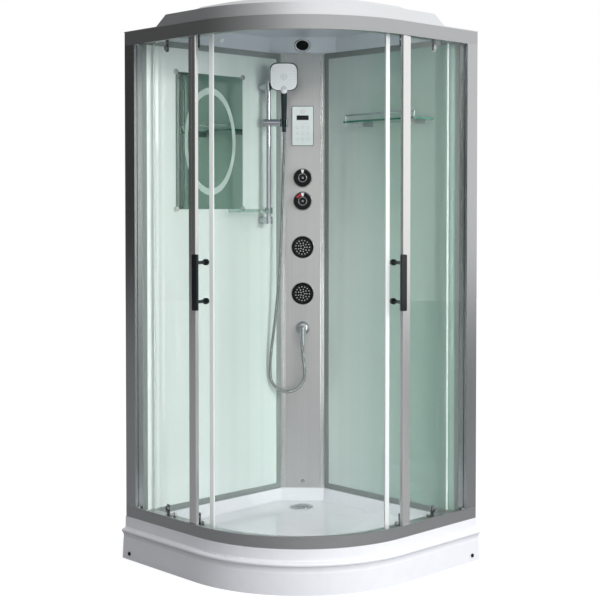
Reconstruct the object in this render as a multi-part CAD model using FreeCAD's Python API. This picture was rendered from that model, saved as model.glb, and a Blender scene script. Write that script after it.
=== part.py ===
import FreeCAD, Part
import math
import os

# Quadrant shower cabin. The origin is on the floor under the middle of the tray's square, +Z is up,
# the room's corner is at -X +Y and the curved front faces +X -Y.
# A depth is measured inwards from the line of the curved front frame.

V = FreeCAD.Vector
UP = V(0, 0, 1)
EAST = V(1, 0, 0)
NORTH = V(0, 1, 0)
ROOT2 = math.sqrt(2)

# Whole cabin
side = 1000.0
front_share = 0.55
frame_inset = 20.0
tray_top = 163.0
rail_top = 2071.0
wall_drop = 23.0
crown_rise = 79.0
wall_face = 60.0
glass_thick = 5.0
run_gap = 0.3
touch_gap = 0.1
overrun = 20.0

# Tray
tray_skin = 6.0
rim_step = 19.0
rim_lean = 1.0
rim_foot = 124.0
ledge_root = 12.0
ledge_top = 118.0
ledge_soft = 3.0
ledge_nose = 109.5
ledge_low = 102.0
ledge_back = 5.0
cove_deep = 9.0
cove_mid = 91.0
cove_low = 78.0
cove_foot = 8.0
apron_foot = 3.0
lining_step = 18.0
basin_floor = 118.0
basin_front = 96.0
basin_back = 70.0
basin_cut = 130.0
basin_slope = 26.0
basin_round = 16.0
skirt_height = 60.0

# Frame and feet under the tray
bar_size = 30.0
bar_wall = 2.0
bar_near = 120.0
bar_far_share = 0.64
bar_start = 40.0
bar_margin = 100.0
foot_radius = 22.0
foot_pad = 8.0
foot_stud = 5.0
foot_nut = 10.0
foot_nut_height = 9.0
foot_margin = 20.0

# Apron screws
apron_screw_radius = 4.0
apron_screw_head = 7.5
apron_screw_head_thick = 3.0
apron_screw_length = 14.0
apron_screw_place = 45.0
apron_screw_height = 24.0

# Drain
drain_out = 350.0
drain_hole = 45.0
drain_flange = 52.0
drain_flange_thick = 2.0
drain_bore = 41.0
drain_depth = 84.0
drain_nut = 56.0
drain_nut_height = 12.0
drain_pipe = 20.0
drain_pipe_wall = 2.0
drain_pipe_low = 5.0
drain_sleeve = 23.0
drain_free = 60.0
drain_pipe_gap = 28.0
cover_radius = 46.0
cover_thick = 4.0
cover_hub = 36.0
cover_hub_depth = 14.0
cover_wall = 3.0
cover_slot = 5.0
cover_slots = 5

# Curved rails
rail_skin = 3.0
rail_face = 4.0
rail_lip = 10.0
rail_depth = 92.0
rail_start = 3.0
track_from = 59.0
bottom_rail_height = 44.0
bottom_track_height = 24.0
top_rail_height = 51.0
top_track_drop = 41.0

# Jambs, posts and fixed glass
jamb_width = 61.0
jamb_depth = 40.0
jamb_wall = 2.0
post_lead = 54.2
post_dark = 18.0
post_bright = 24.0
post_face = 5.0
post_step = 8.0
post_back = 19.0
post_round = 4.0
fixed_depth = 12.0

# Walls
wall_frame_width = 24.0
wall_frame_back = 20.0
wall_frame_proud = 2.0
wall_rebate = 10.0
column_out = 175.0
column_half = 103.0
column_skin = 3.0
column_back = 4.0
flute_width = 3.0
flute_depth = 1.2
flute_places = (74.0, 88.0)

# Roof
roof_skin = 3.0
roof_side = 201.0
roof_slope = 57.0
roof_lean = 5.0
roof_edge_rise = 44.0
crown_inset = 70.0
crown_slope = 60.0
liner_skin = 3.0
liner_rise = 37.0
liner_slope = 42.0
liner_cut = 200.0

# Speaker and lamp in the ceiling
speaker_radius = 35.5
speaker_grille = 23.0
speaker_depth = 14.0
speaker_proud = 5.0
speaker_rise_share = 0.5
lamp_radius = 26.0
lamp_depth = 12.0
lamp_proud = 4.0
lamp_share = 0.547
lamp_rise_share = 0.45

# Mirror
mirror_from = 418.0
mirror_margin = 229.0
mirror_drop = 141.0
mirror_tall = 551.0
mirror_thick = 4.0
clip_radius = 11.0
clip_thick = 3.0

# Glass shelf
shelf_from = 410.0
shelf_margin = 195.0
shelf_depth = 118.0
shelf_drop = 337.0
shelf_thick = 8.0
shelf_round = 18.0
gallery_rise = 24.0
gallery_radius = 3.5
gallery_inset = 12.0
bracket_inset = 45.0
bracket_width = 24.0
bracket_reach = 60.0
bracket_height = 14.0

# Riser rail, slider, holder and soap dish
riser_out = 50.0
riser_place = 312.0
riser_radius = 10.5
riser_drop = 159.0
riser_long = 596.0
riser_mount = 17.0
riser_mount_height = 30.0
slider_drop = 168.0
slider_radius = 16.0
slider_left = 13.0
slider_right = 44.0
knob_gap = 0.5
clamp_knob_radius = 15.0
clamp_knob_long = 11.0
slider_screw = 4.0
slider_screw_long = 1.5
holder_place = 66.0
holder_radius = 18.0
holder_height = 34.0
holder_pin = 7.0
holder_pin_long = 10.0
dish_rise = 56.0
dish_clamp = 18.0
dish_clamp_height = 26.0
dish_near = 36.0
dish_far = 200.0
dish_out = 46.0
dish_in = 40.0
dish_thick = 14.0
dish_wall = 3.0
dish_arm = 6.0

# Handset
handset_angle = 12.0
handset_nut = 9.5
handset_nut_long = 16.0
handset_tail = 38.0
handset_cone = 11.0
handset_grip = 14.0
handset_neck = 140.0
handset_head = 195.0
handset_half = 59.0
handset_side_radius = 400.0
handset_corner = 26.0
handset_thick = 18.0
handset_face = 9.0
handset_soft = 3.0
button_radius = 9.0
button_proud = 2.5
button_deep = 5.0
button_drop = 49.0
button_travel = 1.5

# Hose
hose_radius = 6.75
hose_turn_share = 0.45

# Control panel
panel_half = 48.0
panel_drop = 420.0
panel_height = 173.0
panel_proud = 8.0
panel_round = 6.0
panel_box_half = 40.0
panel_box_margin = 12.0
panel_box_deep = 26.0
display_half = 26.0
display_rise = 112.0
display_height = 20.0
display_thick = 1.5

# Mixer and diverter
diverter_drop = 138.0
mixer_drop = 100.5
knob_radius = 38.0
knob_long = 30.0
knob_round = 5.0
knob_dish = 15.0
knob_dish_deep = 5.0
knob_mark_long = 13.0
knob_mark_wide = 6.0
knob_mark_proud = 1.0
stem_radius = 6.0
stem_long = 34.0
stem_gap = 3.0
valve_radius = 21.0
valve_deep = 66.0
valve_spread = 34.0

# Body jets
jet_drop = 200.0
jet_spacing = 201.5
jet_rim = 46.5
jet_rim_proud = 13.0
jet_ball = 40.0
jet_face = 17.0
jet_back = 8.0
jet_cup = 44.0
jet_cup_deep = 26.0
jet_cup_wall = 3.0
jet_spigot = 8.0
jet_spigot_long = 20.0
jet_nipple = 1.6
jet_nipple_proud = 1.2

# Hose elbow
elbow_drop = 151.0
elbow_flange = 30.0
elbow_flange_thick = 7.0
elbow_radius = 12.5
elbow_out = 38.0
elbow_fall = 62.0
elbow_nut = 11.0
elbow_nut_long = 16.0

# Supply pipes
pipe_radius = 7.5
pipe_wall = 1.2
inlet_spread = 40.0
inlet_drop = 302.5
inlet_radius = 10.48
inlet_bore = 6.0
inlet_long = 22.0
inlet_reach = 56.0
inlet_collar = 13.5
inlet_collar_long = 8.0

# Doors, in degrees from the middle of the two rollers where they turn
door_inset = 54.5
door_depth = 32.0
door_gap = 78.2
door_lead_angle = 17.25
door_trail_angle = 27.5
door_rise = 27.0
door_drop = 44.0
seal_thick = 9.0
seal_long = 16.0
seal_tail = 7.8
roller_angle = 10.4
roller_offset = 31.5
roller_width = 8.0
top_wheel = 11.0
bottom_wheel = 9.0
axle_radius = 3.0
axle_head = 6.0
axle_head_thick = 1.5
axle_gap = 0.05
hanger_width = 24.0
hanger_thick = 2.5
washer_thick = 1.0
hanger_top_reach = 14.0
top_bolt_drop = 31.0
bottom_bolt_rise = 34.0
bolt_margin = 16.0
bolt_radius = 5.0
cap_radius = 11.0
cap_thick = 3.0

# Door handles
handle_angle = 14.5
handle_low = 1006.0
handle_long = 208.0
handle_width = 27.0
handle_thick = 12.0
handle_stand = 52.5
handle_spacing = 145.0
handle_round = 4.0
stand_radius = 6.5
stand_collar = 9.0
hand_knob = 12.0
hand_knob_long = 14.0

# Places worked out from the sizes above
half = side / 2
front_radius = side * front_share
centre_x = half - front_radius
centre_y = -centre_x
bottom_rail_top = tray_top + bottom_rail_height
wall_top = rail_top - wall_drop
crown_top = rail_top + crown_rise
roof_edge_top = rail_top + roof_edge_rise
liner_top = rail_top + liner_rise
bar_far = side * bar_far_share
bar_end = side - bar_margin
foot_tail = bar_end - foot_margin
lamp_place = side * lamp_share
mirror_to = side - mirror_margin
mirror_high = rail_top - mirror_drop
mirror_low = mirror_high - mirror_tall
shelf_to = side - shelf_margin
shelf_height = rail_top - shelf_drop
riser_high = rail_top - riser_drop
riser_low = riser_high - riser_long
slider_height = riser_high - slider_drop
dish_height = riser_low + dish_rise
panel_low = rail_top - panel_drop
display_low = panel_low + display_rise
diverter_height = panel_low - diverter_drop
mixer_height = diverter_height - mixer_drop
upper_jet = mixer_height - jet_drop
lower_jet = upper_jet - jet_spacing
elbow_height = lower_jet - elbow_drop
elbow_end = elbow_height - elbow_fall
inlet_height = mixer_height - inlet_drop
top_rail_low = rail_top - top_rail_height
face_x = column_out / ROOT2 - half
face_y = -face_x
column_edge = (column_out + column_half) / ROOT2
drain_x = drain_out / ROOT2 - half
drain_y = -drain_x
wall_x = -half + wall_face
riser_x = wall_x + riser_out
riser_y = half - riser_place
door_radius = front_radius - door_inset
door_place = door_gap + door_radius * math.sin(math.radians(door_trail_angle))
door_low = tray_top + door_rise
door_high = rail_top - door_drop
hanger_top_bolt = door_high - top_bolt_drop
hanger_bottom_bolt = door_low + bottom_bolt_rise
handle_reach = (door_radius + handle_stand) * math.sin(math.radians(handle_angle))
post_from = door_place + handle_reach - post_lead
door_x = door_place - half
door_y = -half + frame_inset + door_depth + glass_thick / 2 + door_radius
floor_under = basin_floor - tray_skin
track_top = rail_top - top_track_drop + rail_skin
bottom_track_top = tray_top + bottom_track_height
manifold_near = jet_cup_deep + jet_spigot_long

# The hanging hose: points from the elbow's end to the handset's end, as offsets from the first
hose_route = [
    (0.0, 0.0, 0.0),
    (0.0, 0.0, -50.0),
    (7.9, 4.4, -101.0),
    (12.0, 0.7, -162.0),
    (-12.7, -34.0, -207.0),
    (-50.2, -82.7, -208.0),
    (-74.9, -118.8, -164.0),
    (-73.5, -124.5, -102.0),
    (-67.2, -122.3, -23.0),
    (-55.8, -113.9, 82.0),
    (-44.5, -105.4, 212.0),
    (-33.9, -100.4, 372.0),
    (-25.4, -99.0, 552.0),
    (-18.4, -99.0, 732.0),
    (-9.8, -98.8, 840.4),
    (0.5, -109.1, 908.8),
]


def radius_at(depth):
    """Radius of the curved front at a depth behind the frame line."""
    return front_radius - frame_inset - depth


def line(a, b):
    return Part.LineSegment(V(*a), V(*b)).toShape()


def arc(a, middle, b):
    return Part.Arc(V(*a), V(*middle), V(*b)).toShape()


def arc_point(radius, turn, z):
    """Point round the front's centre, turned from the left straight towards the right one."""
    return (centre_x + radius * math.sin(turn), centre_y - radius * math.cos(turn), z)


def polygon(points):
    return Part.makePolygon([V(*p) for p in points] + [V(*points[0])])


def plate_wire(depth, back, z, cut=0):
    """Outline of the cabin's plan: two walls, two straights and the curved front."""
    edge = -half + back
    radius = radius_at(depth)
    left = (edge, centre_y - radius, z)
    right = (centre_x + radius, -edge, z)
    start = arc_point(radius, 0, z)
    middle = arc_point(radius, math.pi / 4, z)
    end = arc_point(radius, math.pi / 2, z)
    edges = [line(left, start), arc(start, middle, end), line(end, right)]
    if cut:
        corner_right = (edge + cut, -edge, z)
        corner_left = (edge, -edge - cut, z)
        edges += [line(right, corner_right), line(corner_right, corner_left), line(corner_left, left)]
    else:
        corner = (edge, -edge, z)
        edges += [line(right, corner), line(corner, left)]
    return Part.Wire(edges)


def plate(depth, back, low, high, cut=0):
    return Part.Face(plate_wire(depth, back, low, cut)).extrude(V(0, 0, high - low))


def funnel(low, high):
    """Solid between two plan outlines, each given as depth, back, height and corner cut."""
    return Part.makeLoft([plate_wire(*low), plate_wire(*high)], True, True)


def band(outer, inner, low, high, start):
    """Curved wall between two depths, from one end of the front to the other."""
    edge = -half + start
    far = radius_at(outer)
    near = radius_at(inner)
    turns = (0, math.pi / 4, math.pi / 2)
    out_a, out_b, out_c = [arc_point(far, t, low) for t in turns]
    in_a, in_b, in_c = [arc_point(near, t, low) for t in turns]
    edges = [
        line((edge, out_a[1], low), out_a),
        arc(out_a, out_b, out_c),
        line(out_c, (out_c[0], -edge, low)),
        line((out_c[0], -edge, low), (in_c[0], -edge, low)),
        line((in_c[0], -edge, low), in_c),
        arc(in_c, in_b, in_a),
        line(in_a, (edge, in_a[1], low)),
        line((edge, in_a[1], low), (edge, out_a[1], low)),
    ]
    return Part.Face(Part.Wire(edges)).extrude(V(0, 0, high - low))


def front_sweep(section, start):
    """Carry a section, drawn as edges at the front's tangent point, along the straights and the curve."""
    face = Part.Face(Part.Wire(section))
    straight = face.extrude(V(-half + start - centre_x, 0, 0))
    curve = face.revolve(V(centre_x, centre_y, 0), UP, 90)
    return straight.fuse([curve, mirrored(straight)]).removeSplitter()


def mirrored(shape):
    """The other half: the cabin is alike on both sides of its diagonal."""
    return shape.mirror(V(0, 0, 0), V(1, 1, 0))


def block(low, high):
    size = V(*high) - V(*low)
    return Part.makeBox(size.x, size.y, size.z, V(*low))


def rod(radius, start, end):
    path = V(*end) - V(*start)
    return Part.makeCylinder(radius, path.Length, V(*start), path)


def ring(outer, inner, start, end):
    return rod(outer, start, end).cut(rod(inner, start, end))


def rounded(shape, radius, pick):
    """Fillet the edges that the test picks by their middle point and direction."""
    edges = [e for e in shape.Edges if pick(e)]
    return shape.makeFillet(radius, edges)


def upright(edge):
    return abs(edge.tangentAt(edge.FirstParameter).z) > abs(edge.tangentAt(edge.FirstParameter).x) + abs(
        edge.tangentAt(edge.FirstParameter).y
    )


def placed(shape, x, y, z=0, turn=0, tilt=0):
    """Put a piece drawn with its outer side towards -Y at a place on the cabin."""
    rotation = FreeCAD.Rotation(UP, turn).multiply(FreeCAD.Rotation(EAST, tilt))
    result = shape.copy()
    result.Placement = FreeCAD.Placement(V(x, y, z), rotation).multiply(result.Placement)
    return result


def on_column(shape):
    return placed(shape, face_x, face_y, 0, 45)


def group(shapes):
    return Part.Compound(list(shapes))


def fuse(shapes):
    return shapes[0].fuse(shapes[1:]).removeSplitter()


def tray_apron():
    """Front of the tray: rim face, rounded ledge, cove and apron, one skin thick."""
    y = centre_y - front_radius

    def at(inset, z):
        return (centre_x, y + inset, z)

    rim_low = rim_step - rim_lean
    bend_mid = (rim_low + ledge_root) / 2 + rim_lean
    bend_high = (rim_foot + ledge_top) / 2 - rim_lean
    outside = [
        at(rim_step, tray_top), at(rim_low, rim_foot), at(ledge_root, ledge_top),
        at(ledge_back, ledge_top - ledge_soft / 2), at(ledge_back, ledge_low),
        at(cove_foot, cove_low), at(apron_foot, 0),
    ]
    inside = [
        at(apron_foot + tray_skin, 0), at(cove_foot + tray_skin, cove_low),
        at(cove_deep + tray_skin, cove_mid), at(lining_step, ledge_low), at(rim_low + tray_skin, ledge_top),
        at(rim_step + tray_skin, tray_top),
    ]
    section = [
        line(outside[0], outside[1]),
        arc(outside[1], at(bend_mid, bend_high), outside[2]),
        line(outside[2], outside[3]),
        arc(outside[3], at(0, ledge_nose), outside[4]),
        arc(outside[4], at(cove_deep, cove_mid), outside[5]),
        line(outside[5], outside[6]),
        line(outside[6], inside[0]),
    ]
    section += [line(a, b) for a, b in zip(inside, inside[1:])]
    section.append(line(inside[-1], outside[0]))
    return front_sweep(section, 0)


def tray():
    """Acrylic tray: basin, rim, apron at the front and short skirts at the walls."""
    rim_depth = rim_step - frame_inset
    rim = plate(rim_depth, 0, tray_top - tray_skin, tray_top)
    bowl_low = (basin_front + basin_slope, basin_back + basin_slope, basin_floor, basin_cut)
    bowl_high = (basin_front, basin_back, tray_top, basin_cut)
    front = basin_front - tray_skin
    back = basin_back - tray_skin
    under_low = (front + basin_slope, back + basin_slope, floor_under, basin_cut)
    under_high = (front, back, tray_top, basin_cut)
    bowl = funnel(bowl_low, bowl_high)
    bowl = rounded(bowl, basin_round, lambda e: e.BoundBox.ZMax < basin_floor + touch_gap)
    skirt = block((-half, centre_y - radius_at(rim_depth), tray_top - skirt_height),
                  (-half + tray_skin, half, tray_top))
    body = fuse([rim, funnel(under_low, under_high), tray_apron(), skirt, mirrored(skirt)])
    hole = rod(drain_hole, (drain_x, drain_y, 0), (drain_x, drain_y, tray_top))
    body = body.cut([bowl, hole])
    screws = apron_screw_holes(apron_screw_radius + touch_gap)
    return body.cut(screws)


def apron_screw_holes(radius):
    x = -half + apron_screw_place
    y = centre_y - front_radius
    hole = rod(radius, (x, y - overrun, apron_screw_height), (x, y + overrun, apron_screw_height))
    return [hole, mirrored(hole)]


def apron_screws():
    """Two dark screws that hold the apron near the walls."""
    x = -half + apron_screw_place
    slope = (cove_foot - apron_foot) / cove_low
    inset = apron_foot + slope * (apron_screw_height - apron_screw_head)
    y = centre_y - front_radius + inset
    head = rod(apron_screw_head, (x, y - apron_screw_head_thick, apron_screw_height),
               (x, y, apron_screw_height))
    shank = rod(apron_screw_radius, (x, y, apron_screw_height),
                (x, y + apron_screw_length, apron_screw_height))
    screw = fuse([head, shank])
    return group([screw, mirrored(screw)])


def bar_along(place, margin, wall):
    """Square bar under the basin, along X at a distance from the wall behind, less its wall."""
    middle = half - place
    reach = bar_size / 2 - wall
    return block((-half + bar_start - margin, middle - reach, floor_under - bar_size + wall),
                 (-half + bar_end + margin, middle + reach, floor_under - wall))


def tray_frame():
    """Welded square tubes that carry the tray's floor."""
    bars = [bar_along(place, 0, 0) for place in (bar_near, bar_far)]
    hollows = [bar_along(place, overrun, bar_wall) for place in (bar_near, bar_far)]
    frame = fuse(bars + [mirrored(bar) for bar in bars])
    return frame.cut(hollows + [mirrored(hollow) for hollow in hollows])


def foot_places():
    near = -half + bar_near
    far = -half + bar_far
    tail = -half + foot_tail
    return [(near, -near), (far, -near), (near, -far), (far, -far), (near, -tail), (tail, -near)]


def tray_feet():
    """Height-adjustable feet: pad with its stud, and a locknut under the frame."""
    top = floor_under - bar_size
    solids = []
    for x, y in foot_places():
        pad = rod(foot_radius, (x, y, 0), (x, y, foot_pad))
        stud = rod(foot_stud, (x, y, foot_pad), (x, y, top))
        solids.append(fuse([pad, stud]))
        solids.append(ring(foot_nut, foot_stud + touch_gap, (x, y, top - foot_nut_height), (x, y, top)))
    return group(solids)


def drain_body():
    """Trap cup with its flange in the basin, a clamping nut below and the outlet pipe to the wall."""
    top = basin_floor + drain_flange_thick
    low = floor_under - drain_depth
    flange = rod(drain_flange, (drain_x, drain_y, basin_floor), (drain_x, drain_y, top))
    cup = rod(drain_hole - touch_gap, (drain_x, drain_y, low), (drain_x, drain_y, basin_floor))
    pipe_z = low + drain_pipe + drain_pipe_low
    pipe_end = half - drain_pipe_gap
    pipe = rod(drain_pipe, (drain_x, drain_y, pipe_z), (drain_x, pipe_end, pipe_z))
    sleeve = rod(drain_sleeve, (drain_x, drain_y, pipe_z), (drain_x, pipe_end - drain_free, pipe_z))
    bore = rod(drain_bore, (drain_x, drain_y, low + tray_skin), (drain_x, drain_y, top))
    pipe_bore = rod(drain_pipe - drain_pipe_wall, (drain_x, drain_y, pipe_z), (drain_x, pipe_end, pipe_z))
    nut = ring(drain_nut, drain_hole, (drain_x, drain_y, floor_under - drain_nut_height),
               (drain_x, drain_y, floor_under))
    return group([fuse([flange, cup, pipe, sleeve]).cut([bore, pipe_bore]), nut])


def drain_cover():
    """Round lift-out cover with slots, on a hub that centres it in the drain."""
    low = basin_floor + drain_flange_thick
    lid = rod(cover_radius, (drain_x, drain_y, low), (drain_x, drain_y, low + cover_thick))
    lid = rounded(lid, cover_thick / 2, lambda e: e.BoundBox.ZMin > low + touch_gap)
    hub_low = low - cover_hub_depth
    hub = ring(cover_hub, cover_hub - cover_wall, (drain_x, drain_y, hub_low), (drain_x, drain_y, low))
    pitch = 2 * cover_hub / (cover_slots + 1)
    cuts = []
    for i in range(cover_slots):
        x = drain_x - cover_hub + pitch * (i + 1)
        reach = math.sqrt(cover_hub ** 2 - (x - drain_x) ** 2) - cover_slot
        cuts.append(block((x - cover_slot / 2, drain_y - reach, low - cover_thick),
                          (x + cover_slot / 2, drain_y + reach, low + cover_thick + cover_slot)))
    return fuse([lid, hub]).cut(cuts)


def wall_ends():
    """Space that the wall frames take out of the deep part of the rails."""
    ends = block((-half, centre_y - radius_at(jamb_depth), tray_top - overrun),
                 (wall_x + wall_frame_proud, half, rail_top + overrun))
    return [ends, mirrored(ends)]


def bottom_rail():
    """Curved sill: face with a lip, floor, and the raised track that the guide wheels run on."""
    floor_top = tray_top + rail_skin
    return fuse([
        band(0, rail_face, tray_top, bottom_rail_top, rail_start),
        band(0, rail_lip, bottom_rail_top - rail_skin, bottom_rail_top, rail_start),
        band(0, rail_depth, tray_top, floor_top, rail_start),
        band(track_from, track_from + rail_skin, tray_top, bottom_track_top, rail_start),
        band(rail_depth - rail_skin, rail_depth, tray_top, bottom_track_top, rail_start),
        band(track_from, rail_depth, bottom_track_top - rail_skin, bottom_track_top, rail_start),
    ]).cut(wall_ends())


def top_rail():
    """Curved head rail: face with a lip, roof, inner wall and the track that carries the doors."""
    return fuse([
        band(0, rail_face, top_rail_low, rail_top, rail_start),
        band(0, rail_lip, top_rail_low, top_rail_low + rail_skin, rail_start),
        band(0, rail_depth, rail_top - rail_skin, rail_top, rail_start),
        band(rail_depth - rail_skin, rail_depth, track_top - rail_skin, rail_top, rail_start),
        band(track_from, rail_depth, track_top - rail_skin, track_top, rail_start),
    ]).cut(wall_ends())


def jamb():
    """Upright box section where the curved front meets the wall."""
    x = -half + rail_start
    y = centre_y - radius_at(0)
    outer = block((x, y, bottom_rail_top), (x + jamb_width, y + jamb_depth, top_rail_low))
    inner = block((x + jamb_wall, y + jamb_wall, bottom_rail_top - overrun),
                  (x + jamb_width - jamb_wall, y + jamb_depth - jamb_wall, top_rail_low + overrun))
    return outer.cut(inner)


def post():
    """Upright at the free edge of the fixed glass: a channel and a rounded face bar."""
    x = -half + post_from
    y = centre_y - radius_at(0)
    low = tray_top + rail_skin
    high = rail_top - rail_skin
    shade = block((x, y + rail_lip, low), (x + post_dark, y + post_back, high))
    shade_face = block((x, y + post_step, bottom_rail_top), (x + post_dark, y + rail_lip, top_rail_low))
    bar = block((x + post_dark, y + rail_lip, low), (x + post_dark + post_bright, y + post_back, high))
    face = block((x + post_dark, y + post_face, bottom_rail_top),
                 (x + post_dark + post_bright, y + rail_lip, top_rail_low))
    face = rounded(face, post_round, lambda e: upright(e) and e.BoundBox.YMax < y + post_face + touch_gap)
    return fuse([shade, shade_face, bar, face])


def fixed_glass():
    """Flat fixed pane between the jamb and the post."""
    x = -half + rail_start + jamb_width
    y = centre_y - radius_at(fixed_depth)
    low = tray_top + rail_skin
    return block((x, y, low), (-half + post_from, y + glass_thick, rail_top - rail_skin))


def wall_sizes():
    far = centre_y - radius_at(jamb_depth)
    near = half - column_edge
    return far, near


def wall_glass():
    """Back wall pane, in the rebate of its frame."""
    far, near = wall_sizes()
    hold = wall_frame_width - wall_rebate
    return block((wall_x - glass_thick, far + hold, tray_top + hold),
                 (wall_x, near - hold, wall_top - hold))


def wall_frame():
    """Aluminium frame round a wall pane."""
    far, near = wall_sizes()
    outer = block((wall_x - wall_frame_back, far, tray_top), (wall_x + wall_frame_proud, near, wall_top))
    opening = block((wall_x - wall_frame_back - overrun, far + wall_frame_width, tray_top + wall_frame_width),
                    (wall_x + overrun, near - wall_frame_width, wall_top - wall_frame_width))
    return outer.cut([opening, wall_glass()])


def corner_column():
    """Folded aluminium corner panel with fluted edges, and holes for everything that passes through it."""
    edge = column_edge
    low_edge = (column_out - column_half) / ROOT2
    inner = edge - column_skin
    corner = low_edge - column_skin * (ROOT2 - 1)
    outline = [
        (edge, column_back), (edge, low_edge), (low_edge, edge), (column_back, edge),
        (column_back, inner), (corner, inner), (inner, corner), (inner, column_back),
    ]
    sheet = Part.Face(polygon([(a - half, half - b, tray_top) for a, b in outline]))
    body = sheet.extrude(V(0, 0, wall_top - tray_top))
    cuts = []
    for place in flute_places:
        for sign in (-1, 1):
            middle = sign * place
            cuts.append(on_column(block((middle - flute_width / 2, -overrun, tray_top + overrun),
                                        (middle + flute_width / 2, flute_depth, wall_top - overrun))))
    for height in (mixer_height, diverter_height):
        cuts.append(on_column(rod(stem_radius + stem_gap, (0, -overrun, height), (0, overrun, height))))
    for height in (lower_jet, upper_jet):
        cuts.append(on_column(rod(jet_cup + touch_gap, (0, -overrun, height), (0, overrun, height))))
    outlet = rod(elbow_radius + touch_gap, (0, -overrun, elbow_height), (0, overrun, elbow_height))
    cuts.append(on_column(outlet))
    cuts.append(on_column(panel_box(touch_gap, -overrun)))
    return body.cut(cuts)


def roof_shell():
    """Moulded roof: margin, dome flush with the front, low crown and the hood over the ceiling."""
    top = rail_top + roof_skin
    dome_back = roof_side + roof_slope
    outside = fuse([
        plate(0, 0, rail_top, top),
        funnel((0, roof_side, rail_top), (roof_lean, dome_back, roof_edge_top)),
        funnel((crown_inset, dome_back, roof_edge_top),
               (crown_inset + crown_slope, dome_back + crown_slope, crown_top)),
        liner_form(-roof_skin, 0),
        roof_rim_ring(),
    ])
    inside = dome_back + roof_skin
    lid = roof_edge_top - roof_skin
    hollows = [
        funnel((roof_skin, roof_side + roof_skin, rail_top), (roof_lean + roof_skin, inside, lid)),
        funnel((crown_inset + roof_skin, inside, lid - roof_skin),
               (crown_inset + crown_slope + roof_skin, inside + crown_slope, crown_top - roof_skin)),
        liner_form(0, 0), liner_corner(), ceiling_speaker(), ceiling_lamp(),
    ]
    return outside.cut(hollows)


def liner_form(inset, front_inset):
    """Faceted form of the ceiling, closed at the walls' top and drawn in at the walls and the front."""
    back = wall_face + wall_frame_proud + inset
    depth = rail_depth + front_inset
    return funnel((depth, back, wall_top, liner_cut),
                  (depth + liner_slope, back + liner_slope, liner_top - inset, liner_cut))


def liner_corner():
    """Flat corner of the ceiling over the column."""
    back = wall_face + wall_frame_proud
    low = wall_top - overrun
    square = plate(rail_depth, back, wall_top, wall_top + liner_skin)
    return square.cut(plate(rail_depth, back, low, rail_top, liner_cut))


def roof_rim_ring():
    """Rim under the roof's margin that sits on the two wall frames and the column."""
    outer = block((wall_x - wall_frame_back, centre_y - radius_at(jamb_depth), wall_top),
                  (wall_x + wall_frame_proud, half - wall_face + wall_frame_back, rail_top))
    return fuse([outer, mirrored(outer)])


def ceiling_liner():
    """Faceted ceiling inside the roof, with a steep facet and a flat corner over the column."""
    shell = liner_form(0, 0).cut(liner_form(liner_skin, liner_skin))
    return fuse([shell, liner_corner()]).cut([ceiling_speaker(), ceiling_lamp()])


def facet_angle():
    return math.degrees(math.atan2(liner_top - wall_top, liner_slope))


def ceiling_speaker():
    """Round housing square to the corner facet, drawn facing -Y and then turned into place."""
    rise = (liner_top - wall_top) * speaker_rise_share
    back = wall_face + wall_frame_proud + liner_slope * speaker_rise_share
    out = (2 * back + liner_cut) / ROOT2
    facet = math.degrees(math.atan2(liner_top - wall_top, liner_slope * ROOT2))
    body = fuse([
        rod(speaker_radius, (0, -speaker_proud, 0), (0, 0, 0)),
        rod(speaker_grille + speaker_proud, (0, 0, 0), (0, speaker_depth, 0)),
    ])
    x = out / ROOT2 - half
    return placed(body, x, -x, wall_top + rise, 45, 90 - facet)


def ceiling_lamp():
    """Round lamp on the facet over the left wall."""
    rise = (liner_top - wall_top) * lamp_rise_share
    back = wall_face + wall_frame_proud + liner_slope * lamp_rise_share
    body = fuse([
        rod(lamp_radius, (0, -lamp_proud, 0), (0, 0, 0)),
        rod(lamp_radius - lamp_proud, (0, 0, 0), (0, lamp_depth, 0)),
    ])
    return placed(body, -half + back, half - lamp_place, wall_top + rise, 90, 90 - facet_angle())


def mirror():
    return block((wall_x, half - mirror_to, mirror_low),
                 (wall_x + mirror_thick, half - mirror_from, mirror_high))


def mirror_clips():
    """Four round clips that hold the mirror's corners against the wall glass."""
    clips = []
    for y in (half - mirror_to, half - mirror_from):
        for z in (mirror_low, mirror_high):
            clips.append(rod(clip_radius, (wall_x, y, z), (wall_x + mirror_thick + clip_thick, y, z)))
    return group([clip.cut(mirror()) for clip in clips])


def glass_shelf():
    """Thick glass shelf on the right wall with rounded front corners."""
    front = -wall_x - shelf_depth
    shelf = block((-half + shelf_from, front, shelf_height),
                  (-half + shelf_to, -wall_x, shelf_height + shelf_thick))
    return rounded(shelf, shelf_round, lambda e: upright(e) and e.BoundBox.YMax < front + touch_gap)


def shelf_rack():
    """Gallery rail in front of the shelf and the two wall brackets under it."""
    y = -wall_x - shelf_depth + gallery_inset
    top = shelf_height + shelf_thick
    left = -half + shelf_from + gallery_inset
    right = -half + shelf_to - gallery_inset
    height = top + gallery_rise
    rail = fuse([
        rod(gallery_radius, (left, y, top), (left, y, height)),
        rod(gallery_radius, (right, y, top), (right, y, height)),
        Part.makeSphere(gallery_radius, V(left, y, height)),
        Part.makeSphere(gallery_radius, V(right, y, height)),
        rod(gallery_radius, (left, y, height), (right, y, height)),
    ])
    brackets = []
    for x in (left + bracket_inset, right - bracket_inset):
        brackets.append(block((x - bracket_width / 2, -wall_x - bracket_reach, shelf_height - bracket_height),
                              (x + bracket_width / 2, -wall_x, shelf_height)))
    return group([rail] + brackets)


def riser_tube():
    return rod(riser_radius, (riser_x, riser_y, riser_low), (riser_x, riser_y, riser_high))


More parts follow.
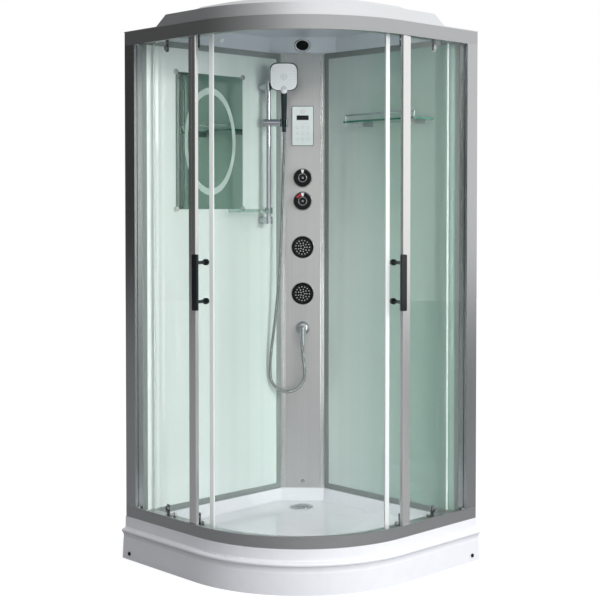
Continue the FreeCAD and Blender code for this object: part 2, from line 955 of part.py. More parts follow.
def riser_brackets():
    """Top and bottom wall brackets that grip the riser tube."""
    brackets = []
    for z in (riser_low + riser_mount_height / 2, riser_high - riser_mount_height / 2):
        arm = rod(riser_mount_height / 2, (wall_x, riser_y, z), (riser_x, riser_y, z))
        clamp = rod(riser_mount, (riser_x, riser_y, z - riser_mount_height / 2),
                    (riser_x, riser_y, z + riser_mount_height / 2))
        hole = rod(riser_radius + touch_gap, (riser_x, riser_y, riser_low - overrun),
                   (riser_x, riser_y, riser_high + overrun))
        brackets.append(fuse([arm, clamp]).cut(hole))
    return group(brackets)


def on_riser(shape, height):
    """Put a piece drawn about the tube's axis, with X along the column's face, on the riser."""
    return placed(shape, riser_x, riser_y, height, 45)


def slider():
    """Slider body round the riser, with the bearing for the holder's pin at its right end."""
    body = rod(slider_radius, (-slider_left, 0, 0), (slider_right, 0, 0))
    hole = rod(riser_radius + run_gap, (0, 0, -overrun - slider_radius), (0, 0, overrun + slider_radius))
    pin_end = slider_right - holder_pin_long - run_gap
    pin = rod(holder_pin + run_gap, (pin_end, 0, 0), (slider_right + overrun, 0, 0))
    screw_end = slider_screw_long + run_gap - slider_left
    screw = rod(slider_screw + run_gap, (-slider_left - overrun, 0, 0), (screw_end, 0, 0))
    return on_riser(body.cut([hole, pin, screw]), slider_height)


def slider_knob():
    """Clamping knob at the slider's left end."""
    face = -slider_left - knob_gap
    knob = rod(clamp_knob_radius, (face - clamp_knob_long, 0, 0), (face, 0, 0))
    knob = rounded(knob, knob_gap * 2, lambda e: e.BoundBox.XLength < touch_gap)
    screw = rod(slider_screw, (face, 0, 0), (-slider_left + slider_screw_long, 0, 0))
    return on_riser(fuse([knob, screw]), slider_height)


def handset_axis_solid(parts):
    """Turn solids of the handset, drawn about its own upright axis, into the holder."""
    offset = holder_place / ROOT2
    return placed(parts, riser_x + offset, riser_y + offset, slider_height, 45, handset_angle)


def holder():
    """Cradle with a conical seat, open at the front for the handle, on its pin."""
    low = -holder_height / 2
    wide = cone_at(holder_height / 2) + run_gap
    seat = Part.makeCone(handset_cone + run_gap, wide, holder_height, V(0, 0, low), UP)
    cup = rod(holder_radius, (0, 0, low), (0, 0, -low)).cut(seat)
    mouth = handset_nut
    slot = block((-mouth, -holder_radius - overrun, low - overrun), (mouth, 0, -low + overrun))
    cup = cup.cut(slot)
    arm_end = slider_right + run_gap - holder_place
    pin_end = slider_right - holder_pin_long - holder_place
    pin = rod(holder_pin, (pin_end, 0, 0), (arm_end, 0, 0))
    arm = rod(holder_pin + rail_skin, (arm_end, 0, 0), (-holder_radius + rail_skin, 0, 0))
    arm = arm.cut(rod(holder_radius - rail_skin / 2, (0, 0, low - overrun), (0, 0, -low + overrun)))
    return handset_axis_solid(fuse([cup, pin, arm]))


def cone_at(height):
    """Radius of the handle's cone at a height above the holder's middle."""
    share = (height + holder_height / 2) / (handset_neck + holder_height / 2)
    return handset_cone + (handset_grip - handset_cone) * share


def head_outline(y):
    """Rounded square with gently bowed sides: eight arcs that run into each other, centred on the head."""
    z = handset_head
    lean = handset_half - handset_side_radius
    between = handset_side_radius - handset_corner
    corner = (lean + math.sqrt(2 * between ** 2 - lean ** 2)) / 2
    near = corner * handset_side_radius / between
    far = lean + (corner - lean) * handset_side_radius / between
    tip = corner + handset_corner / ROOT2
    edges = []
    for i in range(4):
        turn = FreeCAD.Rotation(NORTH, 90 * i)
        start, bow, end, bend, after = [
            turn.multVec(V(px, y, pz)) + V(0, 0, z)
            for px, pz in ((-near, far), (0, handset_half), (near, far), (tip, tip), (far, near))
        ]
        edges.append(arc(start, bow, end))
        edges.append(arc(end, bend, after))
    return Part.Wire(edges)


def handset():
    """Hand shower: hose nut, conical handle, neck and the soft square head."""
    tail = rod(handset_nut, (0, 0, -handset_tail), (0, 0, handset_nut_long - handset_tail))
    low = -holder_height / 2
    shank = rod(handset_nut - knob_gap, (0, 0, handset_nut_long - handset_tail), (0, 0, low))
    cone = Part.makeCone(handset_cone, handset_grip, handset_neck - low, V(0, 0, low), UP)
    neck = rod(handset_grip, (0, 0, handset_neck), (0, 0, handset_head))
    neck = neck.cut(block((-handset_half, -handset_grip - overrun, handset_neck),
                          (handset_half, -handset_face, handset_head)))
    head = Part.Face(head_outline(-handset_face)).extrude(V(0, handset_thick, 0))
    head = rounded(head, handset_soft, lambda e: e.BoundBox.YLength < touch_gap)
    body = fuse([tail, shank, cone, neck, head])
    pocket = rod(button_radius + run_gap, (0, -handset_face - overrun, handset_head - button_drop),
                 (0, button_deep + run_gap - handset_face + button_travel, handset_head - button_drop))
    return handset_axis_solid(body.cut(pocket))


def handset_button():
    """Round button on the head that changes the spray."""
    z = handset_head - button_drop
    button = rod(button_radius, (0, -handset_face - button_proud, z), (0, button_deep - handset_face, z))
    button = rounded(button, knob_gap * 2, lambda e: e.BoundBox.YMax < -handset_face)
    return handset_axis_solid(button)


def soap_dish():
    """Clamp round the riser and a shallow dish held beside it."""
    z = dish_height
    grip = dish_clamp_height / 2
    clamp = rod(dish_clamp, (riser_x, riser_y, z - grip), (riser_x, riser_y, z + grip))
    arm = rod(dish_arm, (riser_x, riser_y, z), (riser_x, riser_y - dish_near, z))
    low = (riser_x - dish_in, riser_y - dish_far, z - dish_thick / 2)
    high = (riser_x + dish_out, riser_y - dish_near, z + dish_thick / 2)
    tray_block = rounded(block(low, high), dish_wall * dish_arm, upright)
    hollow = block((low[0] + dish_wall, low[1] + dish_wall, low[2] + dish_wall),
                   (high[0] - dish_wall, high[1] - dish_wall, high[2] + overrun))
    hollow = rounded(hollow, dish_wall * dish_arm - dish_wall, upright)
    hole = rod(riser_radius + touch_gap, (riser_x, riser_y, riser_low), (riser_x, riser_y, riser_high))
    return fuse([clamp, arm, tray_block.cut(hollow)]).cut(hole)


def panel_box(gap, front):
    margin = panel_box_margin
    return block((-panel_box_half - gap, front, panel_low + margin - gap),
                 (panel_box_half + gap, panel_box_deep, panel_low + panel_height - margin + gap))


def control_panel():
    """Touch panel: bezel on the column and its electronics box behind, with a seat for the display."""
    bezel = block((-panel_half, -panel_proud, panel_low), (panel_half, 0, panel_low + panel_height))
    bezel = rounded(bezel, panel_round, lambda e: e.BoundBox.YLength > panel_proud - touch_gap)
    body = fuse([bezel, panel_box(0, -touch_gap)])
    display = block((-display_half, -panel_proud, display_low),
                    (display_half, display_thick - panel_proud, display_low + display_height))
    return group([on_column(body.cut(display)), on_column(display)])


def knob(height):
    """Round control knob with a dished face, a raised mark at the top and its own stem."""
    body = rod(knob_radius, (0, -knob_long, height), (0, -knob_gap, height))
    body = rounded(body, knob_round, lambda e: e.BoundBox.YMax < touch_gap - knob_long)
    dish = rod(knob_dish, (0, -knob_long - overrun, height), (0, knob_dish_deep - knob_long, height))
    stem = rod(stem_radius, (0, -knob_gap, height), (0, stem_long, height))
    mark_low = height + knob_radius - knob_round - knob_mark_long
    mark = block((-knob_mark_wide / 2, -knob_long - knob_mark_proud, mark_low),
                 (knob_mark_wide / 2, -knob_long + knob_round, mark_low + knob_mark_long))
    return on_column(fuse([body.cut(dish), stem, mark]))


def valve_block():
    """Brass body behind the column that holds the mixer and the diverter."""
    parts = []
    cuts = []
    for height in (mixer_height, diverter_height):
        parts.append(rod(valve_radius, (0, 0, height), (0, valve_deep, height)))
        cuts.append(rod(stem_radius + run_gap, (0, 0, height), (0, stem_long + run_gap, height)))
    spine = rod(valve_radius / 2, (0, valve_spread, mixer_height), (0, valve_spread, diverter_height))
    body = fuse(parts + [spine])
    sheet = block((-half, -overrun, mixer_height - side), (half, column_skin, diverter_height + side))
    return on_column(body.cut(cuts + [sheet]))


def jet_bodies():
    """Housings of the two body jets: visible rim, socket for the ball and the cup behind the column."""
    housings = []
    for z in (lower_jet, upper_jet):
        rim = rod(jet_rim, (0, -jet_rim_proud, z), (0, 0, z))
        rim = rounded(rim, knob_gap * 4, lambda e: e.BoundBox.YMax < touch_gap - jet_rim_proud)
        cup = rod(jet_cup, (0, 0, z), (0, jet_cup_deep, z))
        spigot = rod(jet_spigot, (0, jet_cup_deep, z), (0, manifold_near, z))
        ball = Part.makeSphere(jet_ball + run_gap, V(0, 0, z))
        hollow = rod(jet_cup - jet_cup_wall, (0, jet_back, z), (0, jet_cup_deep - jet_cup_wall, z))
        bore = rod(jet_spigot - pipe_wall, (0, 0, z), (0, manifold_near + overrun, z))
        ball = ball.common(block((-half, -half, z - half), (half, jet_cup_deep - jet_cup_wall, z + half)))
        housings.append(on_column(fuse([rim, cup, spigot]).cut([ball, hollow, bore])))
    return group(housings)


def jet_nozzle(z):
    """Spray face of a body jet, a slice of a ball that tilts in its housing."""
    ball = Part.makeSphere(jet_ball, V(0, 0, z))
    keep = block((-jet_ball, -jet_face, z - jet_ball), (jet_ball, jet_back, z + jet_ball))
    return on_column(ball.common(keep))


def hose_elbow():
    """Wall outlet of the hose: flange, elbow and the hose's union nut."""
    z = elbow_height
    flange = rod(elbow_flange, (0, -elbow_flange_thick, z), (0, 0, z))
    flange = rounded(flange, knob_gap * 4, lambda e: e.BoundBox.YMax < touch_gap - elbow_flange_thick)
    level = rod(elbow_radius, (0, -elbow_out, z), (0, manifold_near, z))
    knee = Part.makeSphere(elbow_radius, V(0, -elbow_out, z))
    drop = rod(elbow_radius - knob_gap, (0, -elbow_out, z), (0, -elbow_out, elbow_end + elbow_nut_long))
    nut = rod(elbow_nut, (0, -elbow_out, elbow_end + elbow_nut_long), (0, -elbow_out, elbow_end))
    return on_column(fuse([flange, level, knee, drop, nut]))


def supply_pipes():
    """Hot and cold inlets with their pipes to the valve, and the pipe that feeds the jets and the hose."""
    valve = rod(valve_radius, (0, 0, mixer_height), (0, valve_deep, mixer_height))
    bend = inlet_reach
    thread_from = inlet_reach + inlet_collar_long
    thread_to = thread_from + inlet_long
    solids = []
    for sign in (-1, 1):
        x = sign * inlet_spread
        collar_from = bend - inlet_collar_long
        parts = [
            rod(inlet_collar, (x, collar_from, inlet_height), (x, thread_from, inlet_height)),
            rod(inlet_radius, (x, thread_from, inlet_height), (x, thread_to, inlet_height)),
            rod(pipe_radius, (x, bend, inlet_height), (x, bend, mixer_height)),
            Part.makeSphere(pipe_radius, V(x, bend, mixer_height)),
            rod(pipe_radius, (x, bend, mixer_height), (0, bend, mixer_height)),
        ]
        bore = rod(inlet_bore, (x, bend + pipe_radius, inlet_height), (x, thread_to, inlet_height))
        solids.append(fuse(parts).cut([bore, valve]))
    x = manifold_near + pipe_radius
    manifold = rod(pipe_radius, (0, x, elbow_height - elbow_radius), (0, x, mixer_height)).cut(valve)
    return group([on_column(solid) for solid in solids + [manifold]])


def hose():
    """Metal hose: straight runs joined by tangent arcs, from the elbow to the handset."""
    start = V(face_x + elbow_out / ROOT2, face_y - elbow_out / ROOT2, elbow_end)
    points = [start + V(*p) for p in hose_route]
    ends = [points[0]]
    edges = []
    for before, here, after in zip(points, points[1:], points[2:]):
        into = here - before
        out = after - here
        shorter = min(into.Length, out.Length)
        turn = into.getAngle(out)
        cut_back = hose_turn_share * shorter
        radius = cut_back / math.tan(turn / 2)
        into.normalize()
        out.normalize()
        first = here - into * cut_back
        last = here + out * cut_back
        bisector = out - into
        bisector.normalize()
        middle = here + bisector * (radius / math.cos(turn / 2) - radius)
        edges.append(Part.LineSegment(ends[-1], first).toShape())
        edges.append(Part.Arc(first, middle, last).toShape())
        ends.append(last)
    edges.append(Part.LineSegment(ends[-1], points[-1]).toShape())
    path = Part.Wire(edges)
    profile = Part.Wire(Part.makeCircle(hose_radius, points[0], -UP))
    return path.makePipeShell([profile], True, False)


def door_point(radius, turn):
    """Place on the left door, turned from the middle of its rollers towards its leading edge."""
    angle = math.radians(turn)
    return door_x + radius * math.sin(angle), door_y - radius * math.cos(angle)


def door_sector(thick, start, end, low, high):
    """Curved strip of the left door between two angles."""
    outer = door_radius + thick / 2
    inner = door_radius - thick / 2
    middle = (start + end) / 2
    a, b, c = [door_point(outer, t) + (low,) for t in (start, middle, end)]
    d, e, f = [door_point(inner, t) + (low,) for t in (end, middle, start)]
    edges = [arc(a, b, c), line(c, d), arc(d, e, f), line(f, a)]
    return Part.Face(Part.Wire(edges)).extrude(V(0, 0, high - low))


def on_door(shape, turn):
    """Put a piece drawn on the door's middle surface, outer side towards -Y, on the left door."""
    x, y = door_point(door_radius, turn)
    return placed(shape, x, y, 0, turn)


def bolt_places():
    heights = (hanger_bottom_bolt, hanger_top_bolt)
    return [(sign * roller_angle, height) for sign in (-1, 1) for height in heights]


def handle_heights():
    middle = handle_low + handle_long / 2
    return (middle - handle_spacing / 2, middle + handle_spacing / 2)


def door_glass():
    """Curved safety glass of the left door with its holes."""
    pane = door_sector(glass_thick, -door_trail_angle, door_lead_angle, door_low, door_high)
    holes = []
    for turn, z in bolt_places():
        holes.append(on_door(rod(bolt_radius + touch_gap, (0, -overrun, z), (0, overrun, z)), turn))
    for z in handle_heights():
        holes.append(on_door(rod(stand_radius + touch_gap, (0, -overrun, z), (0, overrun, z)), handle_angle))
    return pane.cut(holes)


def door_seals():
    """Magnetic seal on the leading edge and wiping seal on the trailing edge."""
    lead = math.degrees(seal_long / door_radius)
    tail = math.degrees(seal_tail / door_radius)
    return group([
        door_sector(seal_thick, door_lead_angle, door_lead_angle + lead, door_low, door_high),
        door_sector(seal_thick, -door_trail_angle - tail, -door_trail_angle, door_low, door_high),
    ])


def wheel_height(top):
    if top:
        return track_top + top_wheel + run_gap
    return bottom_track_top + bottom_wheel + run_gap


def door_hangers():
    """Four hangers: bolt through the glass with its outer cap, plate and the axle of the wheel."""
    solids = []
    inner = glass_thick / 2
    for turn, bolt in bolt_places():
        top = bolt == hanger_top_bolt
        axle_z = wheel_height(top)
        reach = hanger_top_reach if top else axle_head
        low = min(bolt - bolt_margin, axle_z - reach)
        high = max(bolt + bolt_margin, axle_z + reach)
        plate_near = inner + washer_thick
        plate_far = plate_near + hanger_thick
        strap = block((-hanger_width / 2, plate_near, low), (hanger_width / 2, plate_far, high))
        washer = rod(cap_radius, (0, inner + run_gap, bolt), (0, plate_near, bolt))
        shank = rod(bolt_radius, (0, -inner - touch_gap, bolt), (0, plate_near, bolt))
        cap = rod(cap_radius, (0, -inner - cap_thick, bolt), (0, -inner - touch_gap, bolt))
        near = roller_offset - roller_width / 2 - run_gap
        far = roller_offset + roller_width / 2 + run_gap
        axle = rod(axle_radius, (0, plate_far, axle_z), (0, far, axle_z))
        head = rod(axle_head, (0, far, axle_z), (0, far + axle_head_thick, axle_z))
        collar = rod(axle_head, (0, plate_far, axle_z), (0, near, axle_z))
        solids.append(on_door(fuse([strap, washer, shank, cap, axle, head, collar]), turn))
    return group(solids)


def wheel(top, sign):
    """Grooveless nylon wheel that turns on its hanger's axle."""
    radius = top_wheel if top else bottom_wheel
    z = wheel_height(top)
    near = roller_offset - roller_width / 2
    far = roller_offset + roller_width / 2
    disc = rod(radius, (0, near, z), (0, far, z))
    disc = rounded(disc, knob_gap * 2, lambda e: e.BoundBox.YLength < touch_gap)
    bore = rod(axle_radius + axle_gap, (0, near - overrun, z), (0, far + overrun, z))
    return on_door(disc.cut(bore), sign * roller_angle)


def handle():
    """Flat pull bar outside, two standoffs through the glass and the round knobs inside."""
    inner = glass_thick / 2
    out = inner + handle_stand
    end = inner + hand_knob_long
    bar = block((-handle_width / 2, -out - handle_thick, handle_low),
                (handle_width / 2, -out, handle_low + handle_long))
    parts = [rounded(bar, handle_round, lambda e: True)]
    for z in handle_heights():
        parts.append(rod(stand_radius, (0, -out - handle_thick / 2, z), (0, end, z)))
        knob_in = rod(hand_knob, (0, inner + run_gap, z), (0, end, z))
        parts.append(rounded(knob_in, handle_round, lambda e: e.BoundBox.YMin > end - touch_gap))
        parts.append(rod(stand_collar, (0, -inner - cap_thick, z), (0, -inner - touch_gap, z)))
    return on_door(fuse(parts), handle_angle)


def both_sides(nodes, name, shape):
    nodes[name + "_left"] = shape
    nodes[name + "_right"] = mirrored(shape)


def build():
    """All pieces by name."""
    nodes = {
        "tray": tray(), "tray_frame": tray_frame(), "tray_feet": tray_feet(),
        "apron_screws": apron_screws(),
        "drain_body": drain_body(), "drain_cover": drain_cover(),
        "bottom_rail": bottom_rail(), "top_rail": top_rail(),
        "corner_column": corner_column(), "roof_shell": roof_shell(), "ceiling_liner": ceiling_liner(),
        "ceiling_speaker": ceiling_speaker(), "ceiling_lamp": ceiling_lamp(),
        "mirror": mirror(), "mirror_clips": mirror_clips(),
        "glass_shelf": glass_shelf(), "shelf_rack": shelf_rack(),
        "riser_tube": riser_tube(), "riser_brackets": riser_brackets(), "soap_dish": soap_dish(),
        "slider": slider(), "slider_knob": slider_knob(), "handset_holder": holder(),
        "handset": handset(), "handset_button": handset_button(), "shower_hose": hose(),
        "control_panel": control_panel(),
        "mixer_knob": knob(mixer_height), "diverter_knob": knob(diverter_height),
        "valve_block": valve_block(),
        "jet_bodies": jet_bodies(), "jet_nozzle_lower": jet_nozzle(lower_jet),
        "jet_nozzle_upper": jet_nozzle(upper_jet),
        "hose_elbow": hose_elbow(), "supply_pipes": supply_pipes(),
        "wall_frames": group([wall_frame(), mirrored(wall_frame())]),
    }
    both_sides(nodes, "jamb", jamb())
    both_sides(nodes, "post", post())
    both_sides(nodes, "fixed_glass", fixed_glass())
    both_sides(nodes, "wall_glass", wall_glass())
    both_sides(nodes, "door_glass", door_glass())
    both_sides(nodes, "door_seals", door_seals())
    both_sides(nodes, "door_hangers", door_hangers())
    both_sides(nodes, "door_handle", handle())
    for top, level in ((True, "top"), (False, "bottom")):
        for sign, end in ((1, "front"), (-1, "rear")):
            both_sides(nodes, level + "_wheel_" + end, wheel(top, sign))
    return nodes


os.makedirs("parts", exist_ok=True)
for name, shape in build().items():
    shape.exportStep("parts/" + name + ".step")
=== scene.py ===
"""Looks of the quadrant shower cabin: finishes for every construction piece, and the fine detail on them."""
import logging
import math
from dataclasses import dataclass, replace
from enum import Enum

import bmesh
import bpy
from bpy.types import ID, Curve, Material, Mesh, Node, NodeSocket, NodeTree, Object
from mathutils import Matrix, Vector


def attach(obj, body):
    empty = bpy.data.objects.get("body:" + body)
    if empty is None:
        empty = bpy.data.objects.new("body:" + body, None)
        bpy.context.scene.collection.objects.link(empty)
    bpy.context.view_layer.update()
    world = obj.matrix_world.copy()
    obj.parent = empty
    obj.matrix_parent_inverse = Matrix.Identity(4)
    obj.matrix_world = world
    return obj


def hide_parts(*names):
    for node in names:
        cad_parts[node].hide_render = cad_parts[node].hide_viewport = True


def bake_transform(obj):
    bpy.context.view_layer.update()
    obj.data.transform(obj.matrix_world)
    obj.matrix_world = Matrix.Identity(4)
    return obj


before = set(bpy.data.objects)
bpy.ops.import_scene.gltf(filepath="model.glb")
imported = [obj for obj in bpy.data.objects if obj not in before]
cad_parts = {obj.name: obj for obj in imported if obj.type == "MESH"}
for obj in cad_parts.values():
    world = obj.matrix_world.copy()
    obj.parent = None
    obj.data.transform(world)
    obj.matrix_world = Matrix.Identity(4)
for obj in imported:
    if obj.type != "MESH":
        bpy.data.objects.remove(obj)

Pair = tuple[float, float]
Point = tuple[float, float, float]
# Radius and count of each ring of dots
Rings = tuple[tuple[float, int], ...]

LOG = logging.getLogger("shower_cabin")
MM = 0.001
# Points nearer than this are merged
MERGE = 0.01 * MM
# Up, to the photograph's right, and from the room's corner towards the camera
UP = Vector((0, 0, 1))
ACROSS = Vector((1, 1, 0)).normalized()
TOWARDS = Vector((1, -1, 0)).normalized()
# The room's corner, and how far the column's face stands out from it
CORNER = Vector((-0.5, 0.5, 0))
COLUMN_OUT = 0.175


# Small helpers


def linear(code: str) -> tuple[float, float, float, float]:
    """Turns an sRGB hex colour into linear light.

    Args:
        code: Six hex digits.

    Returns:
        Linear red, green, blue and an alpha of 1.
    """
    parts = [int(code[i:i + 2], 16) / 255 for i in (0, 2, 4)]
    light = [p / 12.92 if p <= 0.04045 else ((p + 0.055) / 1.055) ** 2.4 for p in parts]
    return (*light, 1.0)


def add_node(tree: NodeTree, kind: str, settings: dict | None = None, links: dict | None = None) -> Node:
    """Adds one node with its settings and links.

    Args:
        tree: The node tree.
        kind: The node's type.
        settings: Attribute names, or input names or numbers, with their values.
        links: Input names or numbers, with the sockets that feed them, or a node for its first output.

    Returns:
        The new node.
    """
    node = tree.nodes.new(kind)
    for name, value in (settings or {}).items():
        if isinstance(name, str) and hasattr(node, name):
            setattr(node, name, value)
        else:
            node.inputs[name].default_value = value
    for name, source in (links or {}).items():
        tree.links.new(source.outputs[0] if isinstance(source, Node) else source, node.inputs[name])
    return node


def axes(origin: Vector, x: Vector, y: Vector, z: Vector) -> Matrix:
    """Matrix that puts a mesh drawn about zero at a place, along three directions.

    Args:
        origin: The place.
        x: Direction of the mesh's x axis.
        y: Direction of its y axis.
        z: Direction of its z axis.

    Returns:
        The matrix.
    """
    turned = Matrix((x, y, z)).transposed().to_4x4()
    turned.translation = origin
    return turned


def column_place(height: float, proud: float, aside: float = 0.0) -> Matrix:
    """Place on the corner column's face.

    Args:
        height: Height above the floor.
        proud: How far in front of the face.
        aside: How far to the right of the column's middle.

    Returns:
        A matrix whose z axis points out of the face and y axis points up.
    """
    origin = CORNER + TOWARDS * (COLUMN_OUT + proud) + ACROSS * aside + UP * height
    return axes(origin, ACROSS, UP, TOWARDS)


def new_piece(name: str, mesh: Mesh, finish: "Finish", body: str = "") -> Object:
    """Links a finished mesh as a piece, and lets it ride on its body.

    Args:
        name: The piece's name.
        mesh: Its mesh, in place.
        finish: Its finish.
        body: The body it rides on, or nothing for a length of hose.

    Returns:
        The piece's object, at the origin.
    """
    mesh.name = name
    piece = bpy.data.objects.new(name, mesh)
    bpy.context.scene.collection.objects.link(piece)
    mesh.materials.clear()
    mesh.materials.append(finish.material())
    if body:
        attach(piece, body)
    LOG.info("%s: %d faces on %s", name, len(mesh.polygons), body or "two bodies")
    return piece


def to_mesh(work: bmesh.types.BMesh, place: Matrix, smooth: bool = False) -> Mesh:
    """Turns a closed shape into a mesh whose faces point outwards.

    Args:
        work: The shape, which is used up.
        place: Where it goes.
        smooth: Whether its faces are smooth.

    Returns:
        The mesh, in place.
    """
    bmesh.ops.recalc_face_normals(work, faces=work.faces)
    mesh = bpy.data.meshes.new("shape")
    work.to_mesh(mesh)
    work.free()
    mesh.transform(place)
    if smooth:
        mesh.shade_smooth()
    return mesh


def lathe(profile: list[Pair], place: Matrix, sides: int = 48) -> Mesh:
    """Turns a profile about the place's z axis.

    Args:
        profile: Radius and height of each corner, of a loop or of a line from the axis back to the axis.
        place: Where the turned piece goes.
        sides: How many steps round.

    Returns:
        A closed, smooth mesh.
    """
    work = bmesh.new()
    points = [work.verts.new((r, 0, z)) for r, z in profile]
    edges = [work.edges.new(pair) for pair in zip(points, points[1:])]
    if profile[0][0] > 0:
        edges.append(work.edges.new((points[-1], points[0])))
    bmesh.ops.spin(work, geom=points + edges, axis=(0, 0, 1), cent=(0, 0, 0), steps=sides, angle=2 * math.pi)
    bmesh.ops.remove_doubles(work, verts=work.verts, dist=MERGE)
    return to_mesh(work, place, smooth=True)


def slab(outline: list[Pair], thick: float, soft: float, place: Matrix) -> Mesh:
    """Flat plate with softened front edges.

    Args:
        outline: Corners of the plate, anticlockwise as seen from the front.
        thick: Thickness, from the place towards its z axis.
        soft: Radius of the front edge.
        place: Where the plate goes.

    Returns:
        A closed mesh.
    """
    work = bmesh.new()
    base = work.faces.new([work.verts.new((x, y, 0)) for x, y in outline])
    lifted = bmesh.ops.extrude_face_region(work, geom=[base])["geom"]
    top = [v for v in lifted if isinstance(v, bmesh.types.BMVert)]
    bmesh.ops.translate(work, verts=top, vec=(0, 0, thick))
    rim = [e for e in work.edges if all(v.co.z > thick / 2 for v in e.verts) and len(e.link_faces) == 2
           and any(abs(f.normal.z) < 0.5 for f in e.link_faces)]
    work.normal_update()
    bmesh.ops.bevel(work, geom=rim, offset=soft, segments=3, affect="EDGES", clamp_overlap=True)
    return to_mesh(work, place)


def rounded_box(half_wide: float, half_tall: float, radius: float, steps: int = 6) -> list[Pair]:
    """Corners of a rectangle with round corners.

    Args:
        half_wide: Half the width.
        half_tall: Half the height.
        radius: Radius of the corners.
        steps: How many steps in each corner.

    Returns:
        The corners, anticlockwise.
    """
    corners = []
    for quarter, (sx, sy) in enumerate(((1, 1), (-1, 1), (-1, -1), (1, -1))):
        for step in range(steps + 1):
            turn = math.radians(90 * (quarter + step / steps))
            corners.append((sx * (half_wide - radius) + radius * math.cos(turn),
                            sy * (half_tall - radius) + radius * math.sin(turn)))
    return corners


def soft_square(half: float, power: float, steps: int = 64) -> list[Pair]:
    """Corners of a rounded square whose sides bulge.

    Args:
        half: Half the width.
        power: How square it is, from 2 for a circle upwards.
        steps: How many corners.

    Returns:
        The corners, anticlockwise.
    """
    corners = []
    for step in range(steps):
        turn = 2 * math.pi * step / steps
        c, s = math.cos(turn), math.sin(turn)
        reach = half / (abs(c) ** power + abs(s) ** power) ** (1 / power)
        corners.append((reach * c, reach * s))
    return corners


def start_tree(name: str, *sizes: str) -> tuple[NodeTree, Node]:
    """Starts a geometry tree.

    Args:
        name: The tree's name.
        sizes: Names of the sizes that it is given.

    Returns:
        The tree, and the node that holds its inputs.
    """
    tree = bpy.data.node_groups.new(name, "GeometryNodeTree")
    tree.interface.new_socket("Geometry", in_out="INPUT", socket_type="NodeSocketGeometry")
    for size in sizes:
        tree.interface.new_socket(size, in_out="INPUT", socket_type="NodeSocketFloat")
    tree.interface.new_socket("Geometry", in_out="OUTPUT", socket_type="NodeSocketGeometry")
    return tree, add_node(tree, "NodeGroupInput")


def end_tree(tree: NodeTree, shape: Node, finish: "Finish", smooth: bool = False) -> NodeTree:
    """Ends a geometry tree: the instances become real and get their material.

    Args:
        tree: The tree.
        shape: The node that makes the shape.
        finish: The shape's finish.
        smooth: Whether its faces are smooth.

    Returns:
        The tree.
    """
    shape = add_node(tree, "GeometryNodeRealizeInstances", links={"Geometry": shape})
    if smooth:
        shape = add_node(tree, "GeometryNodeSetShadeSmooth", links={"Geometry": shape})
    shape = add_node(tree, "GeometryNodeSetMaterial", {"Material": finish.material()}, {"Geometry": shape})
    add_node(tree, "NodeGroupOutput", links={"Geometry": shape})
    return tree


def bake_tree(tree: NodeTree, values: dict[str, float], place: Matrix | None = None,
              data: ID | None = None) -> Mesh:
    """Runs a geometry tree and keeps the result as a plain mesh.

    Args:
        tree: The geometry tree.
        values: Values of the tree's named inputs.
        place: Where the result goes, or None to leave it.
        data: The mesh or curve that the tree starts from, or None for an empty one.

    Returns:
        The plain mesh. The modifier and its object are gone.
    """
    holder = bpy.data.objects.new("seed", data or bpy.data.meshes.new("seed"))
    bpy.context.scene.collection.objects.link(holder)
    modifier = holder.modifiers.new("shape", "NODES")
    modifier.node_group = tree
    for item in tree.interface.items_tree:
        if item.in_out == "INPUT" and item.name in values:
            modifier[item.identifier] = values[item.name]
    graph = bpy.context.evaluated_depsgraph_get()
    graph.update()
    made = bpy.data.meshes.new_from_object(holder.evaluated_get(graph), preserve_all_data_layers=True,
                                           depsgraph=graph)
    bpy.data.objects.remove(holder)
    if place is not None:
        made.transform(place)
    return made


# Finishes

# Depth of a brushed or textured grain, and of the roller waves in a pane
GRAIN_DEPTH = 0.05 * MM
WAVE_DEPTH = 0.02 * MM


class Grain(Enum):
    """Direction in which a metal was brushed or drawn, as the pattern's scale along x, y and z."""

    UPRIGHT = (1.0, 1.0, 0.004)
    LEVEL = (0.01, 0.01, 1.0)
    NONE = (1.0, 1.0, 1.0)


